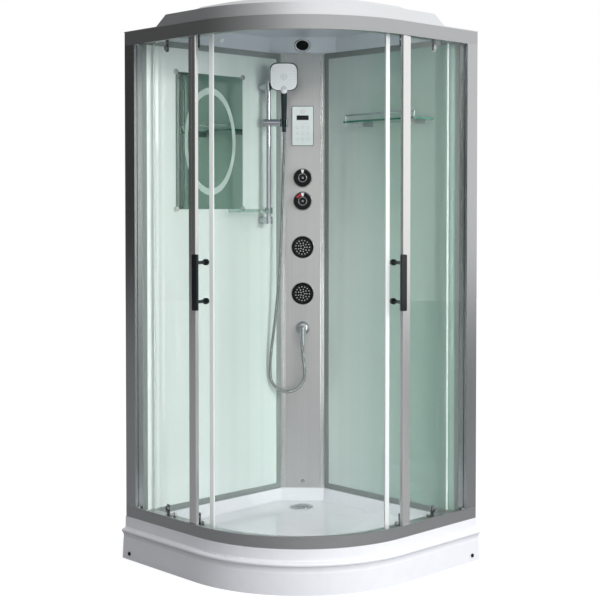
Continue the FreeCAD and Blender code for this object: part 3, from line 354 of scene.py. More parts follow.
@dataclass(frozen=True)
class Finish:
    """What a surface is made of. A metal keeps the usual index, and deep is the pattern's second tone."""

    name: str
    colour: str
    roughness: float
    metallic: float = 0.0
    ior: float = 1.5
    coat: float = 0.0
    deep: str = ""
    grain_mm: float = 3.0
    grain: Grain = Grain.NONE
    relief: float = 0.0
    rough_swing: float = 0.04

    def material(self) -> Material:
        """Gives the finish's material, and makes it the first time.

        Returns:
            The material.
        """
        made = bpy.data.materials.get(self.name)
        if made:
            return made
        made = bpy.data.materials.new(self.name)
        made.use_nodes = True
        tree = made.node_tree
        tree.nodes.clear()
        shader = add_node(tree, "ShaderNodeBsdfPrincipled", {
            "Base Color": linear(self.colour), "Roughness": self.roughness, "Metallic": self.metallic,
            "IOR": self.ior, "Coat Weight": self.coat, "Coat Roughness": 0.05})
        surface = self.dress(tree, shader)
        add_node(tree, "ShaderNodeOutputMaterial", links={"Surface": surface})
        return made

    def pattern(self, tree: NodeTree) -> NodeSocket:
        """Fine variation of the surface, drawn out along the grain.

        Args:
            tree: The material's node tree.

        Returns:
            A socket from 0 to 1.
        """
        place = add_node(tree, "ShaderNodeTexCoord")
        per_metre = 1 / (self.grain_mm * MM)
        scale = tuple(per_metre * share for share in self.grain.value)
        drawn = add_node(tree, "ShaderNodeMapping", {"Scale": scale}, {"Vector": place.outputs["Object"]})
        noise = add_node(tree, "ShaderNodeTexNoise", {"Scale": 1.0, "Detail": 3.0, "Roughness": 0.55},
                         {"Vector": drawn})
        return noise.outputs["Fac"]

    def dress(self, tree: NodeTree, shader: Node) -> NodeSocket:
        """Adds the colour, roughness and relief that the real surface shows.

        Args:
            tree: The material's node tree.
            shader: Its shader.

        Returns:
            The socket that goes to the surface.
        """
        fac = self.pattern(tree)
        tones = add_node(tree, "ShaderNodeMix", {
            "data_type": "RGBA", 6: linear(self.deep or self.colour), 7: linear(self.colour)}, {0: fac})
        tree.links.new(tones.outputs[2], shader.inputs["Base Color"])
        low, high = max(0.0, self.roughness - self.rough_swing), self.roughness + self.rough_swing
        rough = add_node(tree, "ShaderNodeMapRange", {"To Min": low, "To Max": high}, {"Value": fac})
        tree.links.new(rough.outputs["Result"], shader.inputs["Roughness"])
        if self.relief:
            self.bump(tree, shader, fac, GRAIN_DEPTH)
        return shader.outputs["BSDF"]

    def bump(self, tree: NodeTree, shader: Node, height: NodeSocket, depth: float) -> None:
        """Lets a pattern raise the surface, by the finish's relief and a depth in metres."""
        raised = add_node(tree, "ShaderNodeBump", {"Strength": self.relief, "Distance": depth},
                          {"Height": height})
        tree.links.new(raised.outputs["Normal"], shader.inputs["Normal"])


@dataclass(frozen=True)
class Pane(Finish):
    """Clear pane. Lamps reach what is behind it, as they do through real float glass."""

    passed: str = "F4F8F6"
    clear: float = 1.0

    def dress(self, tree: NodeTree, shader: Node) -> NodeSocket:
        """Adds the rolling waves of the pane and lets the lamps through.

        Args:
            tree: The material's node tree.
            shader: Its shader.

        Returns:
            The socket that goes to the surface.
        """
        shader.inputs["Transmission Weight"].default_value = self.clear
        self.bump(tree, shader, self.pattern(tree), WAVE_DEPTH)
        lamps = add_node(tree, "ShaderNodeBsdfTransparent", {"Color": linear(self.passed)})
        ray = add_node(tree, "ShaderNodeLightPath")
        both = add_node(tree, "ShaderNodeMixShader", links={
            0: ray.outputs["Is Shadow Ray"], 1: shader, 2: lamps})
        return both.outputs["Shader"]


@dataclass(frozen=True)
class WallPaintWithPaintedLight(Finish):
    """Back-painted glass of a wall, with painted light: its tone shifts from the corner column to its free
    edge, lighter where more light falls and darker where less does.

    The shift lies between two distances in metres along a direction, measured from the cabin's middle.
    """

    along: Point = (1.0, 0.0, 0.0)
    free_edge_painted_light: str = "FFFFFF"
    shift: Pair = (0.0, 1.0)

    def dress(self, tree: NodeTree, shader: Node) -> NodeSocket:
        """Adds the painted light along the wall: the tone shifts towards the free edge's colour.

        Args:
            tree: The material's node tree.
            shader: Its shader.

        Returns:
            The socket that goes to the surface.
        """
        surface = super().dress(tree, shader)
        plain = shader.inputs["Base Color"].links[0].from_socket
        place = add_node(tree, "ShaderNodeTexCoord")
        reach = add_node(tree, "ShaderNodeVectorMath", {"operation": "DOT_PRODUCT", 1: self.along},
                         {0: place.outputs["Object"]})
        share = add_node(tree, "ShaderNodeMapRange", {
            "interpolation_type": "SMOOTHSTEP", "From Min": self.shift[0], "From Max": self.shift[1]},
            {"Value": reach.outputs["Value"]})
        # Painted light and shade: the colour moves towards the free edge's tone
        tones = add_node(tree, "ShaderNodeMix", {"data_type": "RGBA", 7: linear(self.free_edge_painted_light)},
                         {0: share, 6: plain})
        tree.links.new(tones.outputs[2], shader.inputs["Base Color"])
        return surface


@dataclass(frozen=True)
class EtchedMirror(Finish):
    """Silvered glass with a sandblasted oval band. The oval is in the wall's plane, in metres."""

    frosted: str = "B2C6BE"
    frost_rough: float = 0.55
    centre: Pair = (-0.0925, 1.6565)
    outer: Pair = (0.1355, 0.2205)
    inner: Pair = (0.1185, 0.1935)

    def inside(self, tree: NodeTree, place: Node, reach: Pair) -> Node:
        """Tells what lies inside an oval.

        Args:
            tree: The material's node tree.
            place: The node that gives the distance from the oval's middle.
            reach: The oval's half sizes.

        Returns:
            A node that gives 1 inside and 0 outside.
        """
        scale = (0, 1 / reach[0], 1 / reach[1])
        scaled = add_node(tree, "ShaderNodeVectorMath", {"operation": "MULTIPLY", 1: scale}, {0: place})
        length = add_node(tree, "ShaderNodeVectorMath", {"operation": "LENGTH"}, {0: scaled})
        return add_node(tree, "ShaderNodeMath", {"operation": "LESS_THAN", 1: 1.0},
                        {0: length.outputs["Value"]})

    def dress(self, tree: NodeTree, shader: Node) -> NodeSocket:
        """Adds the sandblasted band to the silvered glass.

        Args:
            tree: The material's node tree.
            shader: Its shader.

        Returns:
            The socket that goes to the surface.
        """
        place = add_node(tree, "ShaderNodeTexCoord")
        centred = add_node(tree, "ShaderNodeMapping", {"Location": (0, -self.centre[0], -self.centre[1])},
                           {"Vector": place.outputs["Object"]})
        frost = add_node(tree, "ShaderNodeMath", {"operation": "SUBTRACT"}, {
            0: self.inside(tree, centred, self.outer), 1: self.inside(tree, centred, self.inner)})
        tone = add_node(tree, "ShaderNodeMix", {
            "data_type": "RGBA", 6: linear(self.colour), 7: linear(self.frosted)}, {0: frost})
        rough = add_node(tree, "ShaderNodeMapRange", {"To Min": self.roughness, "To Max": self.frost_rough},
                         {"Value": frost})
        metal = add_node(tree, "ShaderNodeMath", {"operation": "SUBTRACT", 0: 1.0}, {1: frost})
        tree.links.new(tone.outputs[2], shader.inputs["Base Color"])
        tree.links.new(rough.outputs["Result"], shader.inputs["Roughness"])
        tree.links.new(metal.outputs["Value"], shader.inputs["Metallic"])
        return shader.outputs["BSDF"]


# Brush lines, die lines and mould textures are too fine to show, so those patterns are drawn coarser

# Vacuum-formed acrylic sheet: high gloss over a very slight waviness
WHITE_ACRYLIC = Finish("cast_acrylic_white", "ECEDF2", 0.16, coat=0.3, deep="E5E6EC", grain_mm=40,
                       relief=0.05)
# Hot-dipped zinc: dull grey with a spangle
GALVANISED = Finish("galvanised_steel", "A4A9AD", 0.42, metallic=1, deep="7C8286", grain_mm=8,
                    rough_swing=0.1)
# Blackened steel screws: dark, half dull
DARK_SCREW = Finish("blackened_steel", "2B2C2E", 0.38, metallic=0.8, deep="1D1E20", grain_mm=2)
# Moulded polypropylene: milky grey, satin
WASTE_PLASTIC = Finish("polypropylene_grey", "C9CCCE", 0.45, deep="BDC0C2", grain_mm=4, relief=0.1)
# Chromed brass: mirror bright, with a faint polishing haze
CHROME = Finish("chromed_brass", "C6C9CC", 0.06, metallic=1, deep="BABEC1", grain_mm=6, rough_swing=0.02)
# Chromed ABS of the hand shower: bright, a little darker than chromed brass
DARK_CHROME = Finish("chromed_abs", "5A6264", 0.1, metallic=1, deep="444C4E", grain_mm=8, rough_swing=0.04)
# Anodised aluminium of the curved rails: faint level streaks under a broad satin sheen
RAIL = Finish("anodised_aluminium_level", "C3C4C5", 0.4, metallic=1, deep="BABBBC", grain_mm=1.2,
              grain=Grain.LEVEL, relief=0.03, rough_swing=0.02)
# Anodised aluminium profiles, drawn upright: fine upright die lines
PROFILE = Finish("anodised_aluminium_upright", "C8C9CA", 0.24, metallic=1, deep="B8B9BA", grain_mm=1.6,
                 grain=Grain.UPRIGHT, relief=0.1, rough_swing=0.04)
# The walls' narrow frame profiles: matt anodised aluminium, its colour darkened as painted shade so they stay
# grey in the corners
FRAME_PROFILE_PAINTED_SHADE = Finish("anodised_aluminium_matt_painted_shade", "9DA5A2", 0.5, metallic=0.3, deep="919996", grain_mm=1.6,
                       grain=Grain.UPRIGHT, relief=0.05)
# Brushed anodised sheet of the column: broader, softer upright streaks
COLUMN_SHEET = Finish("anodised_aluminium_sheet", "D3D3D2", 0.36, metallic=0.8, deep="C4C4C3", grain_mm=3.2,
                      grain=Grain.UPRIGHT, relief=0.08, rough_swing=0.05)
# Bright-dipped aluminium of the door posts and the small trims: whiter and smoother than the frames
BRIGHT_TRIM = Finish("bright_dipped_aluminium", "EDEDEC", 0.22, metallic=0.9, deep="E6E6E5", grain_mm=2,
                     rough_swing=0.02)
# Toughened clear float glass: nearly colourless, faint roller waves. A low index keeps reflections faint
CLEAR_GLASS = Pane("toughened_clear_glass", "FCFEFD", 0.0, ior=1.25, grain_mm=180, relief=0.03,
                   passed="F9FBFA")
# Shelf glass, whose polished edge shows its green body colour
SHELF_GLASS = Pane("float_glass_green", "C9E4DA", 0.02, ior=1.5, grain_mm=90, relief=0.03, passed="D6E8E1")
# The shelf's ground and polished edge, where the green of the glass adds up over its depth
GLASS_EDGE = Finish("polished_glass_edge", "1E7A66", 0.1, deep="14604F", grain_mm=14, coat=1)
# Clear injection-moulded acrylic of the soap dish
CLEAR_ACRYLIC = Pane("moulded_clear_acrylic", "E9F2EF", 0.06, ior=1.49, grain_mm=25, relief=0.08,
                     passed="E4EDEA")
# Toughened glass painted pale mint on its back, deep gloss. Its soft upright streaks are painted reflections,
# and its tone grows lighter towards the free edge at the front: painted light
WALL_GLASS_LEFT_PAINTED_LIGHT = WallPaintWithPaintedLight("back_painted_glass_left_painted_light", "DAE5E1", 0.07, coat=1, deep="CCD9D4", grain_mm=45,
                          grain=Grain.UPRIGHT, rough_swing=0.03, along=(0.0, -1.0, 0.0), free_edge_painted_light="F2FAF7",
                          shift=(-0.05, 0.4))
# The same glass on the right, darker and greener towards its free edge at the front: painted shade where
# little light reaches that end
WALL_GLASS_RIGHT_PAINTED_SHADE = replace(WALL_GLASS_LEFT_PAINTED_LIGHT, name="back_painted_glass_right_painted_shade", along=(1.0, 0.0, 0.0),
                       free_edge_painted_light="A6C2B7", shift=(-0.3, 0.25))
# Vacuum-formed roof with a satin silver metallic lacquer
SILVER_LACQUER = Finish("silver_lacquer", "ECEEF0", 0.38, metallic=0.95, deep="E6E8EA", grain_mm=1.2,
                        relief=0.05)
# Vacuum-formed ceiling sheet, pale blue-grey and half glossy
CEILING_SHEET = Finish("abs_sheet_blue_grey", "D3DAE2", 0.3, deep="C8D0D9", grain_mm=60, coat=0.3)
# Moulded black ABS with a fine spark-eroded texture
BLACK_ABS = Finish("moulded_abs_black", "070708", 0.36, ior=1.28, deep="040505", grain_mm=1.0, relief=0.2)
# Opal polycarbonate of the lamp's lens
OPAL = Finish("opal_polycarbonate", "EDF0F1", 0.3, deep="E6EAEB", grain_mm=12)
# Printed face of the control panel under a gloss film
PANEL_FILM = Finish("printed_polyester_white", "EDF2F2", 0.18, deep="E5EBEB", grain_mm=20, coat=0.4)
# Painted frame of the panel, mid grey
PANEL_FRAME = Finish("painted_abs_grey", "7E8484", 0.32, deep="747A7A", grain_mm=2)
# Tinted polycarbonate window of the display
DISPLAY = Finish("tinted_polycarbonate", "050607", 0.12, ior=1.38, deep="030404", grain_mm=10)
# Silk-screened marks on the panel film, and pad-printed ones on the knobs
KEY_PRINT = Finish("screen_print_grey", "B4BCBC", 0.4, deep="ACB4B4", grain_mm=2)
POWER_PRINT = Finish("screen_print_rose", "E3B9BC", 0.4, deep="DDB1B4", grain_mm=2)
HOT_PRINT = Finish("pad_print_red", "B8323A", 0.4, deep="A92C34", grain_mm=2)
WHITE_PRINT = Finish("pad_print_white", "F2F2F0", 0.4, deep="E9E9E7", grain_mm=2)
# Silvered glass with a sandblasted oval band
MIRROR = EtchedMirror("silvered_glass_etched", "BCCEC7", 0.02)
# Extruded soft PVC: milky white, half glossy
SEAL = Finish("extruded_pvc_white", "EEF2F1", 0.3, deep="E4E9E8", grain_mm=3, grain=Grain.UPRIGHT, coat=0.2)
# Black lacquer on die-cast zinc
BLACK_LACQUER = Finish("black_lacquer", "10151A", 0.22, deep="0B0F13", grain_mm=1.2, relief=0.12, coat=0.4)
# Polished black ABS of the knobs
PIANO_BLACK = Finish("polished_abs_black", "060708", 0.1, ior=1.3, deep="040506", grain_mm=30, coat=0.05)
# Cast and machined brass
BRASS = Finish("machined_brass", "B6945C", 0.3, metallic=1, deep="9E7E4B", grain_mm=3, rough_swing=0.08)
# Satin chrome on the jets' rims
SATIN_CHROME = Finish("satin_chrome", "B0B3B5", 0.22, metallic=1, deep="A2A5A8", grain_mm=3)
# Moulded white ABS face of the hand shower, polished
SPRAY_FACE = Finish("moulded_abs_white", "F8F8FA", 0.2, deep="F1F2F5", grain_mm=18, coat=0.3)
# Silicone rubber nozzles, pale grey, dull
PALE_RUBBER = Finish("silicone_pale_grey", "B4B8BE", 0.55, deep="A8ADB4", grain_mm=2)
# Black silicone of the middle spray, and the shadow in the speaker's holes
DARK_RUBBER_AND_HOLE_SHADOW = Finish("dark_silicone_and_hole_shadow", "1B1E21", 0.5, deep="15181A", grain_mm=2)
# Silver-grey silicone tips of the body jets' nozzles
NOZZLE_TIP = Finish("silicone_silver_tip", "C4C6C8", 0.4, deep="B6B8BA", grain_mm=1)
# Moulded ABS of the mode button, pale grey
BUTTON = Finish("moulded_abs_button", "DADDE4", 0.25, deep="CFD3DB", grain_mm=8)
# Turned polyamide wheels
NYLON = Finish("polyamide_natural", "E4E2DA", 0.5, deep="D8D6CD", grain_mm=2)
# Interlocked stainless strip of the hose
HOSE_STEEL = Finish("stainless_strip", "B4B7B7", 0.18, metallic=1, deep="8F9393", grain_mm=2.5,
                    rough_swing=0.06)

# Finish of each of the record's material slots, and of the nodes whose own differs from their slot's
SLOT_FINISH = {
    "white_acrylic": WHITE_ACRYLIC, "galvanised_steel": GALVANISED, "dark_screw": DARK_SCREW,
    "waste_plastic": WASTE_PLASTIC, "chrome": CHROME, "rail_aluminium": PROFILE, "clear_glass": CLEAR_GLASS,
    "pale_green_glass": WALL_GLASS_LEFT_PAINTED_LIGHT, "shelf_glass": SHELF_GLASS, "silver_acrylic": SILVER_LACQUER,
    "ceiling_grey": CEILING_SHEET, "dark_plastic": BLACK_ABS, "lamp_white": OPAL, "mirror": MIRROR,
    "clear_plastic": CLEAR_ACRYLIC, "seal_plastic": SEAL, "black_metal": BLACK_LACQUER,
    "black_gloss": PIANO_BLACK, "brass": BRASS, "satin_ring": SATIN_CHROME, "handset_white": DARK_CHROME,
    "button_grey": BUTTON, "wheel_nylon": NYLON,
}
NODE_FINISH = {
    "bottom_rail": RAIL, "top_rail": RAIL, "corner_column": COLUMN_SHEET, "control_panel": PANEL_FRAME,
    "wall_frames": FRAME_PROFILE_PAINTED_SHADE, "jet_bodies": PIANO_BLACK, "ceiling_lamp": CEILING_SHEET,
    "mirror_clips": BRIGHT_TRIM, "post_left": BRIGHT_TRIM, "post_right": BRIGHT_TRIM,
    "wall_glass_right": WALL_GLASS_RIGHT_PAINTED_SHADE,
}


# Repeated forms


@dataclass
class DotRings:
    """Rings of small domes: spray nozzles, or dark domes painted as the shadow in a grille's holes.

    Domes within the clear distance of clear_at are left out.
    """

    rings: Rings
    dot: float
    squash: float = 0.5
    clear_at: Pair = (0.0, 0.0)
    clear: float = 0.0

    def tree(self, finish: Finish) -> NodeTree:
        """Builds the node tree: one circle of points for each ring, with a dome on each point.

        Args:
            finish: Finish of the domes.

        Returns:
            The tree, whose inputs are the scale of the rings and the dome's radius.
        """
        tree, given = start_tree("dot_rings", "Ring Scale", "Dot Radius")
        joined = add_node(tree, "GeometryNodeJoinGeometry")
        for radius, count in self.rings:
            reach = add_node(tree, "ShaderNodeMath", {"operation": "MULTIPLY", 1: radius},
                             {0: given.outputs["Ring Scale"]})
            circle = add_node(tree, "GeometryNodeMeshCircle", {"Vertices": count}, {"Radius": reach})
            tree.links.new(circle.outputs["Mesh"], joined.inputs["Geometry"])
        place = add_node(tree, "GeometryNodeInputPosition")
        gap = add_node(tree, "ShaderNodeVectorMath", {"operation": "DISTANCE", 1: (*self.clear_at, 0.0)},
                       {0: place})
        near = add_node(tree, "ShaderNodeMath", {"operation": "LESS_THAN", 1: self.clear},
                        {0: gap.outputs["Value"]})
        kept = add_node(tree, "GeometryNodeDeleteGeometry", links={"Geometry": joined, "Selection": near})
        dome = add_node(tree, "GeometryNodeMeshUVSphere", {"Segments": 8, "Rings": 5},
                        {"Radius": given.outputs["Dot Radius"]})
        dots = add_node(tree, "GeometryNodeInstanceOnPoints", {"Scale": (1, 1, self.squash)},
                        {"Points": kept, "Instance": dome})
        return end_tree(tree, dots, finish, smooth=True)

    def build(self, name: str, finish: Finish, place: Matrix, body: str) -> None:
        """Makes the dots as one piece.

        Args:
            name: The piece's name.
            finish: Finish of the domes.
            place: Middle of the rings, with its z axis out of the face.
            body: The body it rides on.
        """
        values = {"Ring Scale": 1.0, "Dot Radius": self.dot}
        new_piece(name, bake_tree(self.tree(finish), values, place), finish, body)


@dataclass
class KeyGrid:
    """Printed rings of the touch keys, in rows and columns."""

    columns: int = 3
    rows: int = 3
    wide: float = 46 * MM
    tall: float = 52 * MM
    radius: float = 5.5 * MM
    line: float = 0.5 * MM
    flat: float = 0.3

    def mesh(self, finish: Finish, place: Matrix) -> Mesh:
        """Makes all key rings as one plain mesh.

        Args:
            finish: The print.
            place: Middle of the grid, with its z axis out of the panel.

        Returns:
            The mesh, in place.
        """
        tree, given = start_tree("key_grid", "Key Radius")
        grid = add_node(tree, "GeometryNodeMeshGrid", {
            "Size X": self.wide, "Size Y": self.tall, "Vertices X": self.columns, "Vertices Y": self.rows})
        circle = add_node(tree, "GeometryNodeCurvePrimitiveCircle", {"Resolution": 20},
                          {"Radius": given.outputs["Key Radius"]})
        line = add_node(tree, "GeometryNodeCurvePrimitiveCircle", {"Resolution": 6, "Radius": self.line})
        ring = add_node(tree, "GeometryNodeCurveToMesh", links={"Curve": circle, "Profile Curve": line})
        keys = add_node(tree, "GeometryNodeInstanceOnPoints", {"Scale": (1, 1, self.flat)},
                        {"Points": grid, "Instance": ring})
        return bake_tree(end_tree(tree, keys, finish), {"Key Radius": self.radius}, place)


# Sub-assemblies


@dataclass(frozen=True)
class SoftLamp:
    """Square soft lamp: where it stands, what it points at, its side, and its power in watts."""

    name: str
    stand: Point
    aim: Point
    side: float
    power: float

    def build(self) -> None:
        """Adds the lamp, which neither the camera nor a reflection shows."""
        data = bpy.data.lights.new(self.name, "AREA")
        data.size = self.side
        data.energy = self.power
        lamp = bpy.data.objects.new(self.name, data)
        lamp.location = self.stand
        lamp.rotation_euler = (Vector(self.stand) - Vector(self.aim)).to_track_quat("Z", "Y").to_euler()
        lamp.visible_camera = False
        lamp.visible_glossy = False
        bpy.context.scene.collection.objects.link(lamp)


@dataclass
class Studio:
    """Camera, stage, lamps and surroundings. Lengths are in metres, and the camera's own in millimetres."""

    lens: float = 75.22
    sensor: float = 36.0
    shift: float = -0.1
    eye: Point = (3.53359, -3.41454, 1.39604)
    yaw: float = -0.0176
    pitch: float = 0.028
    far: float = 100.0
    floor_reach: float = 14.0
    floor_colour: str = "98999B"
    floor_glow: float = 0.8
    # The room's lightness from its dark left to its bright right
    room: tuple[Pair, ...] = ((0.0, 0.03), (0.1, 0.2), (0.3, 0.43), (0.52, 0.93), (0.8, 1.0), (1.0, 0.95))
    lamps: tuple[SoftLamp, ...] = (
        SoftLamp("key", (4.2, 0.1, 2.3), (-0.2, 0.0, 1.1), 0.9, 72.0),
        SoftLamp("over", (1.6, -1.6, 4.2), (0.0, 0.0, 1.0), 2.6, 25.0),
        SoftLamp("fill", (3.1, -0.9, 0.5), (-0.3, 0.0, 1.9), 1.2, 20.0))

    def camera(self) -> None:
        """Sets up the camera at the photograph's place."""
        data = bpy.data.cameras.new("camera")
        data.lens = self.lens
        data.sensor_width = self.sensor
        data.shift_y = self.shift
        data.clip_end = self.far
        right = TOWARDS * math.sin(self.yaw) + ACROSS * math.cos(self.yaw)
        level = -TOWARDS * math.cos(self.yaw) + ACROSS * math.sin(self.yaw)
        ahead = level * math.cos(self.pitch) - UP * math.sin(self.pitch)
        camera = bpy.data.objects.new("camera", data)
        camera.matrix_world = axes(Vector(self.eye), right, right.cross(ahead), -ahead)
        bpy.context.scene.collection.objects.link(camera)
        bpy.context.scene.camera = camera

    def in_view(self, tree: NodeTree) -> Node:
        """Tells what is seen directly or through clear glass from what only lights or mirrors in the object.

        Args:
            tree: The node tree that asks.

        Returns:
            A node that gives 1 in direct view and 0 elsewhere.
        """
        ray = add_node(tree, "ShaderNodeLightPath")
        bounces = add_node(tree, "ShaderNodeMath", {"operation": "ADD"},
                           {0: ray.outputs["Diffuse Depth"], 1: ray.outputs["Glossy Depth"]})
        straight = add_node(tree, "ShaderNodeMath", {"operation": "LESS_THAN", 1: 0.5}, {0: bounces})
        through = add_node(tree, "ShaderNodeMath", {"operation": "MULTIPLY"},
                           {0: ray.outputs["Is Transmission Ray"], 1: straight})
        return add_node(tree, "ShaderNodeMath", {"operation": "MAXIMUM"},
                        {0: ray.outputs["Is Camera Ray"], 1: through})

    def surroundings(self) -> None:
        """Makes the world: white behind the object, round it a room with a bright right and a dark left."""
        world = bpy.data.worlds.new("studio")
        bpy.context.scene.world = world
        world.use_nodes = True
        tree = world.node_tree
        tree.nodes.clear()
        place = add_node(tree, "ShaderNodeTexCoord")
        sideways = add_node(tree, "ShaderNodeVectorMath", {"operation": "DOT_PRODUCT", 1: tuple(ACROSS)},
                            {0: place.outputs["Generated"]})
        share = add_node(tree, "ShaderNodeMapRange", {"From Min": -1.0}, {"Value": sideways.outputs["Value"]})
        room = add_node(tree, "ShaderNodeFloatCurve", links={"Value": share})
        curve = room.mapping.curves[0]
        for _ in range(len(self.room) - 2):
            curve.points.new(0.5, 0.5)
        for point, stop in zip(curve.points, self.room):
            point.location = stop
        room.mapping.update()
        lit = add_node(tree, "ShaderNodeBackground", {"Color": linear("FFFFFF")}, {"Strength": room})
        white = add_node(tree, "ShaderNodeBackground", {"Color": linear("FFFFFF"), "Strength": 1.0})
        both = add_node(tree, "ShaderNodeMixShader", links={0: self.in_view(tree), 1: lit, 2: white})
        add_node(tree, "ShaderNodeOutputWorld", links={"Surface": both})

    def stage(self) -> None:
        """Lays the pale floor, which turns to the white of the background for the camera."""
        work = bmesh.new()
        bmesh.ops.create_circle(work, cap_ends=True, radius=self.floor_reach, segments=96)
        mesh = bpy.data.meshes.new("floor")
        work.to_mesh(mesh)
        work.free()
        floor = bpy.data.objects.new("floor", mesh)
        bpy.context.scene.collection.objects.link(floor)
        pale = bpy.data.materials.new("studio_floor")
        pale.use_nodes = True
        tree = pale.node_tree
        tree.nodes.clear()
        matt = add_node(tree, "ShaderNodeBsdfPrincipled", {
            "Base Color": linear(self.floor_colour), "Roughness": 0.9})
        glow = add_node(tree, "ShaderNodeMath", {"operation": "MULTIPLY", 1: self.floor_glow},
                        {0: self.in_view(tree)})
        shine = add_node(tree, "ShaderNodeEmission", {"Color": linear("FFFFFF")}, {"Strength": glow})
        both = add_node(tree, "ShaderNodeAddShader", links={0: matt, 1: shine})
        add_node(tree, "ShaderNodeOutputMaterial", links={"Surface": both})
        mesh.materials.append(pale)

    def build(self) -> None:
        """Sets up everything that isn't the object."""
        bpy.context.scene.view_settings.view_transform = "Standard"
        self.camera()
        self.surroundings()
        self.stage()
        for lamp in self.lamps:
            lamp.build()


@dataclass
class Enclosure:
    """Tray, rails, profiles, walls, glass, roof and everything else that keeps its construction shape."""

    def build(self) -> None:
        """Gives every construction piece its finish."""
        for name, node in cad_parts.items():
            slot = node.material_slots[0].material.name.split(".")[0]
            finish = NODE_FINISH.get(name, SLOT_FINISH[slot])
            for place in node.material_slots:
                place.material = finish.material()
            LOG.info("%s: %s", name, finish.name)


@dataclass
class Ceiling:
    """Speaker ring with dark domes painted as the shadow in its grille's holes, and lamp lens, in the roof's
    lining.
    """

    speaker: Point = (-0.3160, 0.3160, 2.0785)
    speaker_lean: float = math.radians(45.3)
    speaker_proud: float = 5 * MM
    ring_outer: float = 35.5 * MM
    ring_inner: float = 25.0 * MM
    ring_proud: float = 1.2 * MM
    holes: Rings = ((5 * MM, 6), (10 * MM, 12), (15 * MM, 18), (20 * MM, 24))
    hole: float = 1.1 * MM
    lamp: Point = (-0.4212, -0.047, 2.0757)
    lamp_lean: float = math.radians(55.0)
    lamp_proud: float = 4 * MM
    lens: float = 13 * MM

    def place(self, middle: Point, level: Vector, lean: float, proud: float) -> Matrix:
        """Place on a face that looks down and sideways.

        Args:
            middle: Middle of the face.
            level: The level direction that it leans to.
            lean: Angle from straight down.
            proud: How far in front of the face.

        Returns:
            A matrix whose z axis points out of the face.
        """
        out = level * math.sin(lean) - UP * math.cos(lean)
        side = UP.cross(level)
        return axes(Vector(middle) + out * proud, side, out.cross(side), out)

    def build(self) -> None:
        """Builds the speaker's chrome ring, the dark domes painted as the shadow in its grille's holes, and
        the lamp's lens and rim.
        """
        speaker = self.place(self.speaker, TOWARDS, self.speaker_lean, self.speaker_proud)
        ring = [(self.ring_inner, 0), (self.ring_outer, 0), (self.ring_outer - MM, self.ring_proud),
                (self.ring_inner + 2 * MM, self.ring_proud)]
        new_piece("speaker_ring", lathe(ring, speaker), CHROME, "cabin")
        # Dark domes on the grille: painted shadow in its holes
        DotRings(self.holes, self.hole).build("speaker_hole_shadows", DARK_RUBBER_AND_HOLE_SHADOW, speaker, "cabin")
        lamp = self.place(self.lamp, Vector((1, 0, 0)), self.lamp_lean, self.lamp_proud)
        r = self.lens
        lens = [(0, 0), (r, 0), (r * 0.96, 1.2 * MM), (r * 0.7, 2.6 * MM), (0, 3.4 * MM)]
        new_piece("lamp_lens", lathe(lens, lamp), OPAL, "cabin")
        rim = [(r, 0), (r + 5 * MM, 0), (r + 4.5 * MM, 1.5 * MM), (r + 0.5 * MM, 1.8 * MM)]
        new_piece("lamp_rim", lathe(rim, lamp), CHROME, "cabin")


@dataclass
class ColumnPanel:
    """Touch panel on the column. The display and the power ring start a little inside its film."""

    middle: float = 1.7375
    half_wide: float = 45 * MM
    half_tall: float = 83.5 * MM
    corner: float = 4 * MM
    proud: float = 8 * MM
    film: float = 0.8 * MM
    soft: float = 0.3 * MM
    inside: float = 0.7 * MM
    display_middle: float = 1.773
    display_half: float = 26 * MM
    display_tall: float = 10 * MM
    display_corner: float = 1.5 * MM
    power_height: float = 1.8
    power_radius: float = 7.5 * MM
    power_line: float = 1.1 * MM
    power_lift: float = 0.4 * MM
    keys_below: float = 32 * MM

    def build(self) -> None:
        """Builds the printed face, the display window, the power ring and the key rings."""
        face = rounded_box(self.half_wide, self.half_tall, self.corner)
        film = slab(face, self.film, self.soft, column_place(self.middle, self.proud))
        new_piece("panel_face", film, PANEL_FILM, "cabin")
        pane = rounded_box(self.display_half, self.display_tall, self.display_corner)
        at = column_place(self.display_middle, self.proud + self.inside)
        new_piece("panel_display", slab(pane, self.film, self.soft, at), DISPLAY, "cabin")
        inner, outer = self.power_radius - self.power_line, self.power_radius + self.power_line
        ring = [(inner, 0), (outer, 0), (outer, self.power_lift), (inner, self.power_lift)]
        at = column_place(self.power_height, self.proud + self.inside)
        new_piece("power_ring", lathe(ring, at), POWER_PRINT, "cabin")
        keys = KeyGrid().mesh(KEY_PRINT, column_place(self.middle - self.keys_below, self.proud + self.film))
        new_piece("key_rings", keys, KEY_PRINT, "cabin")


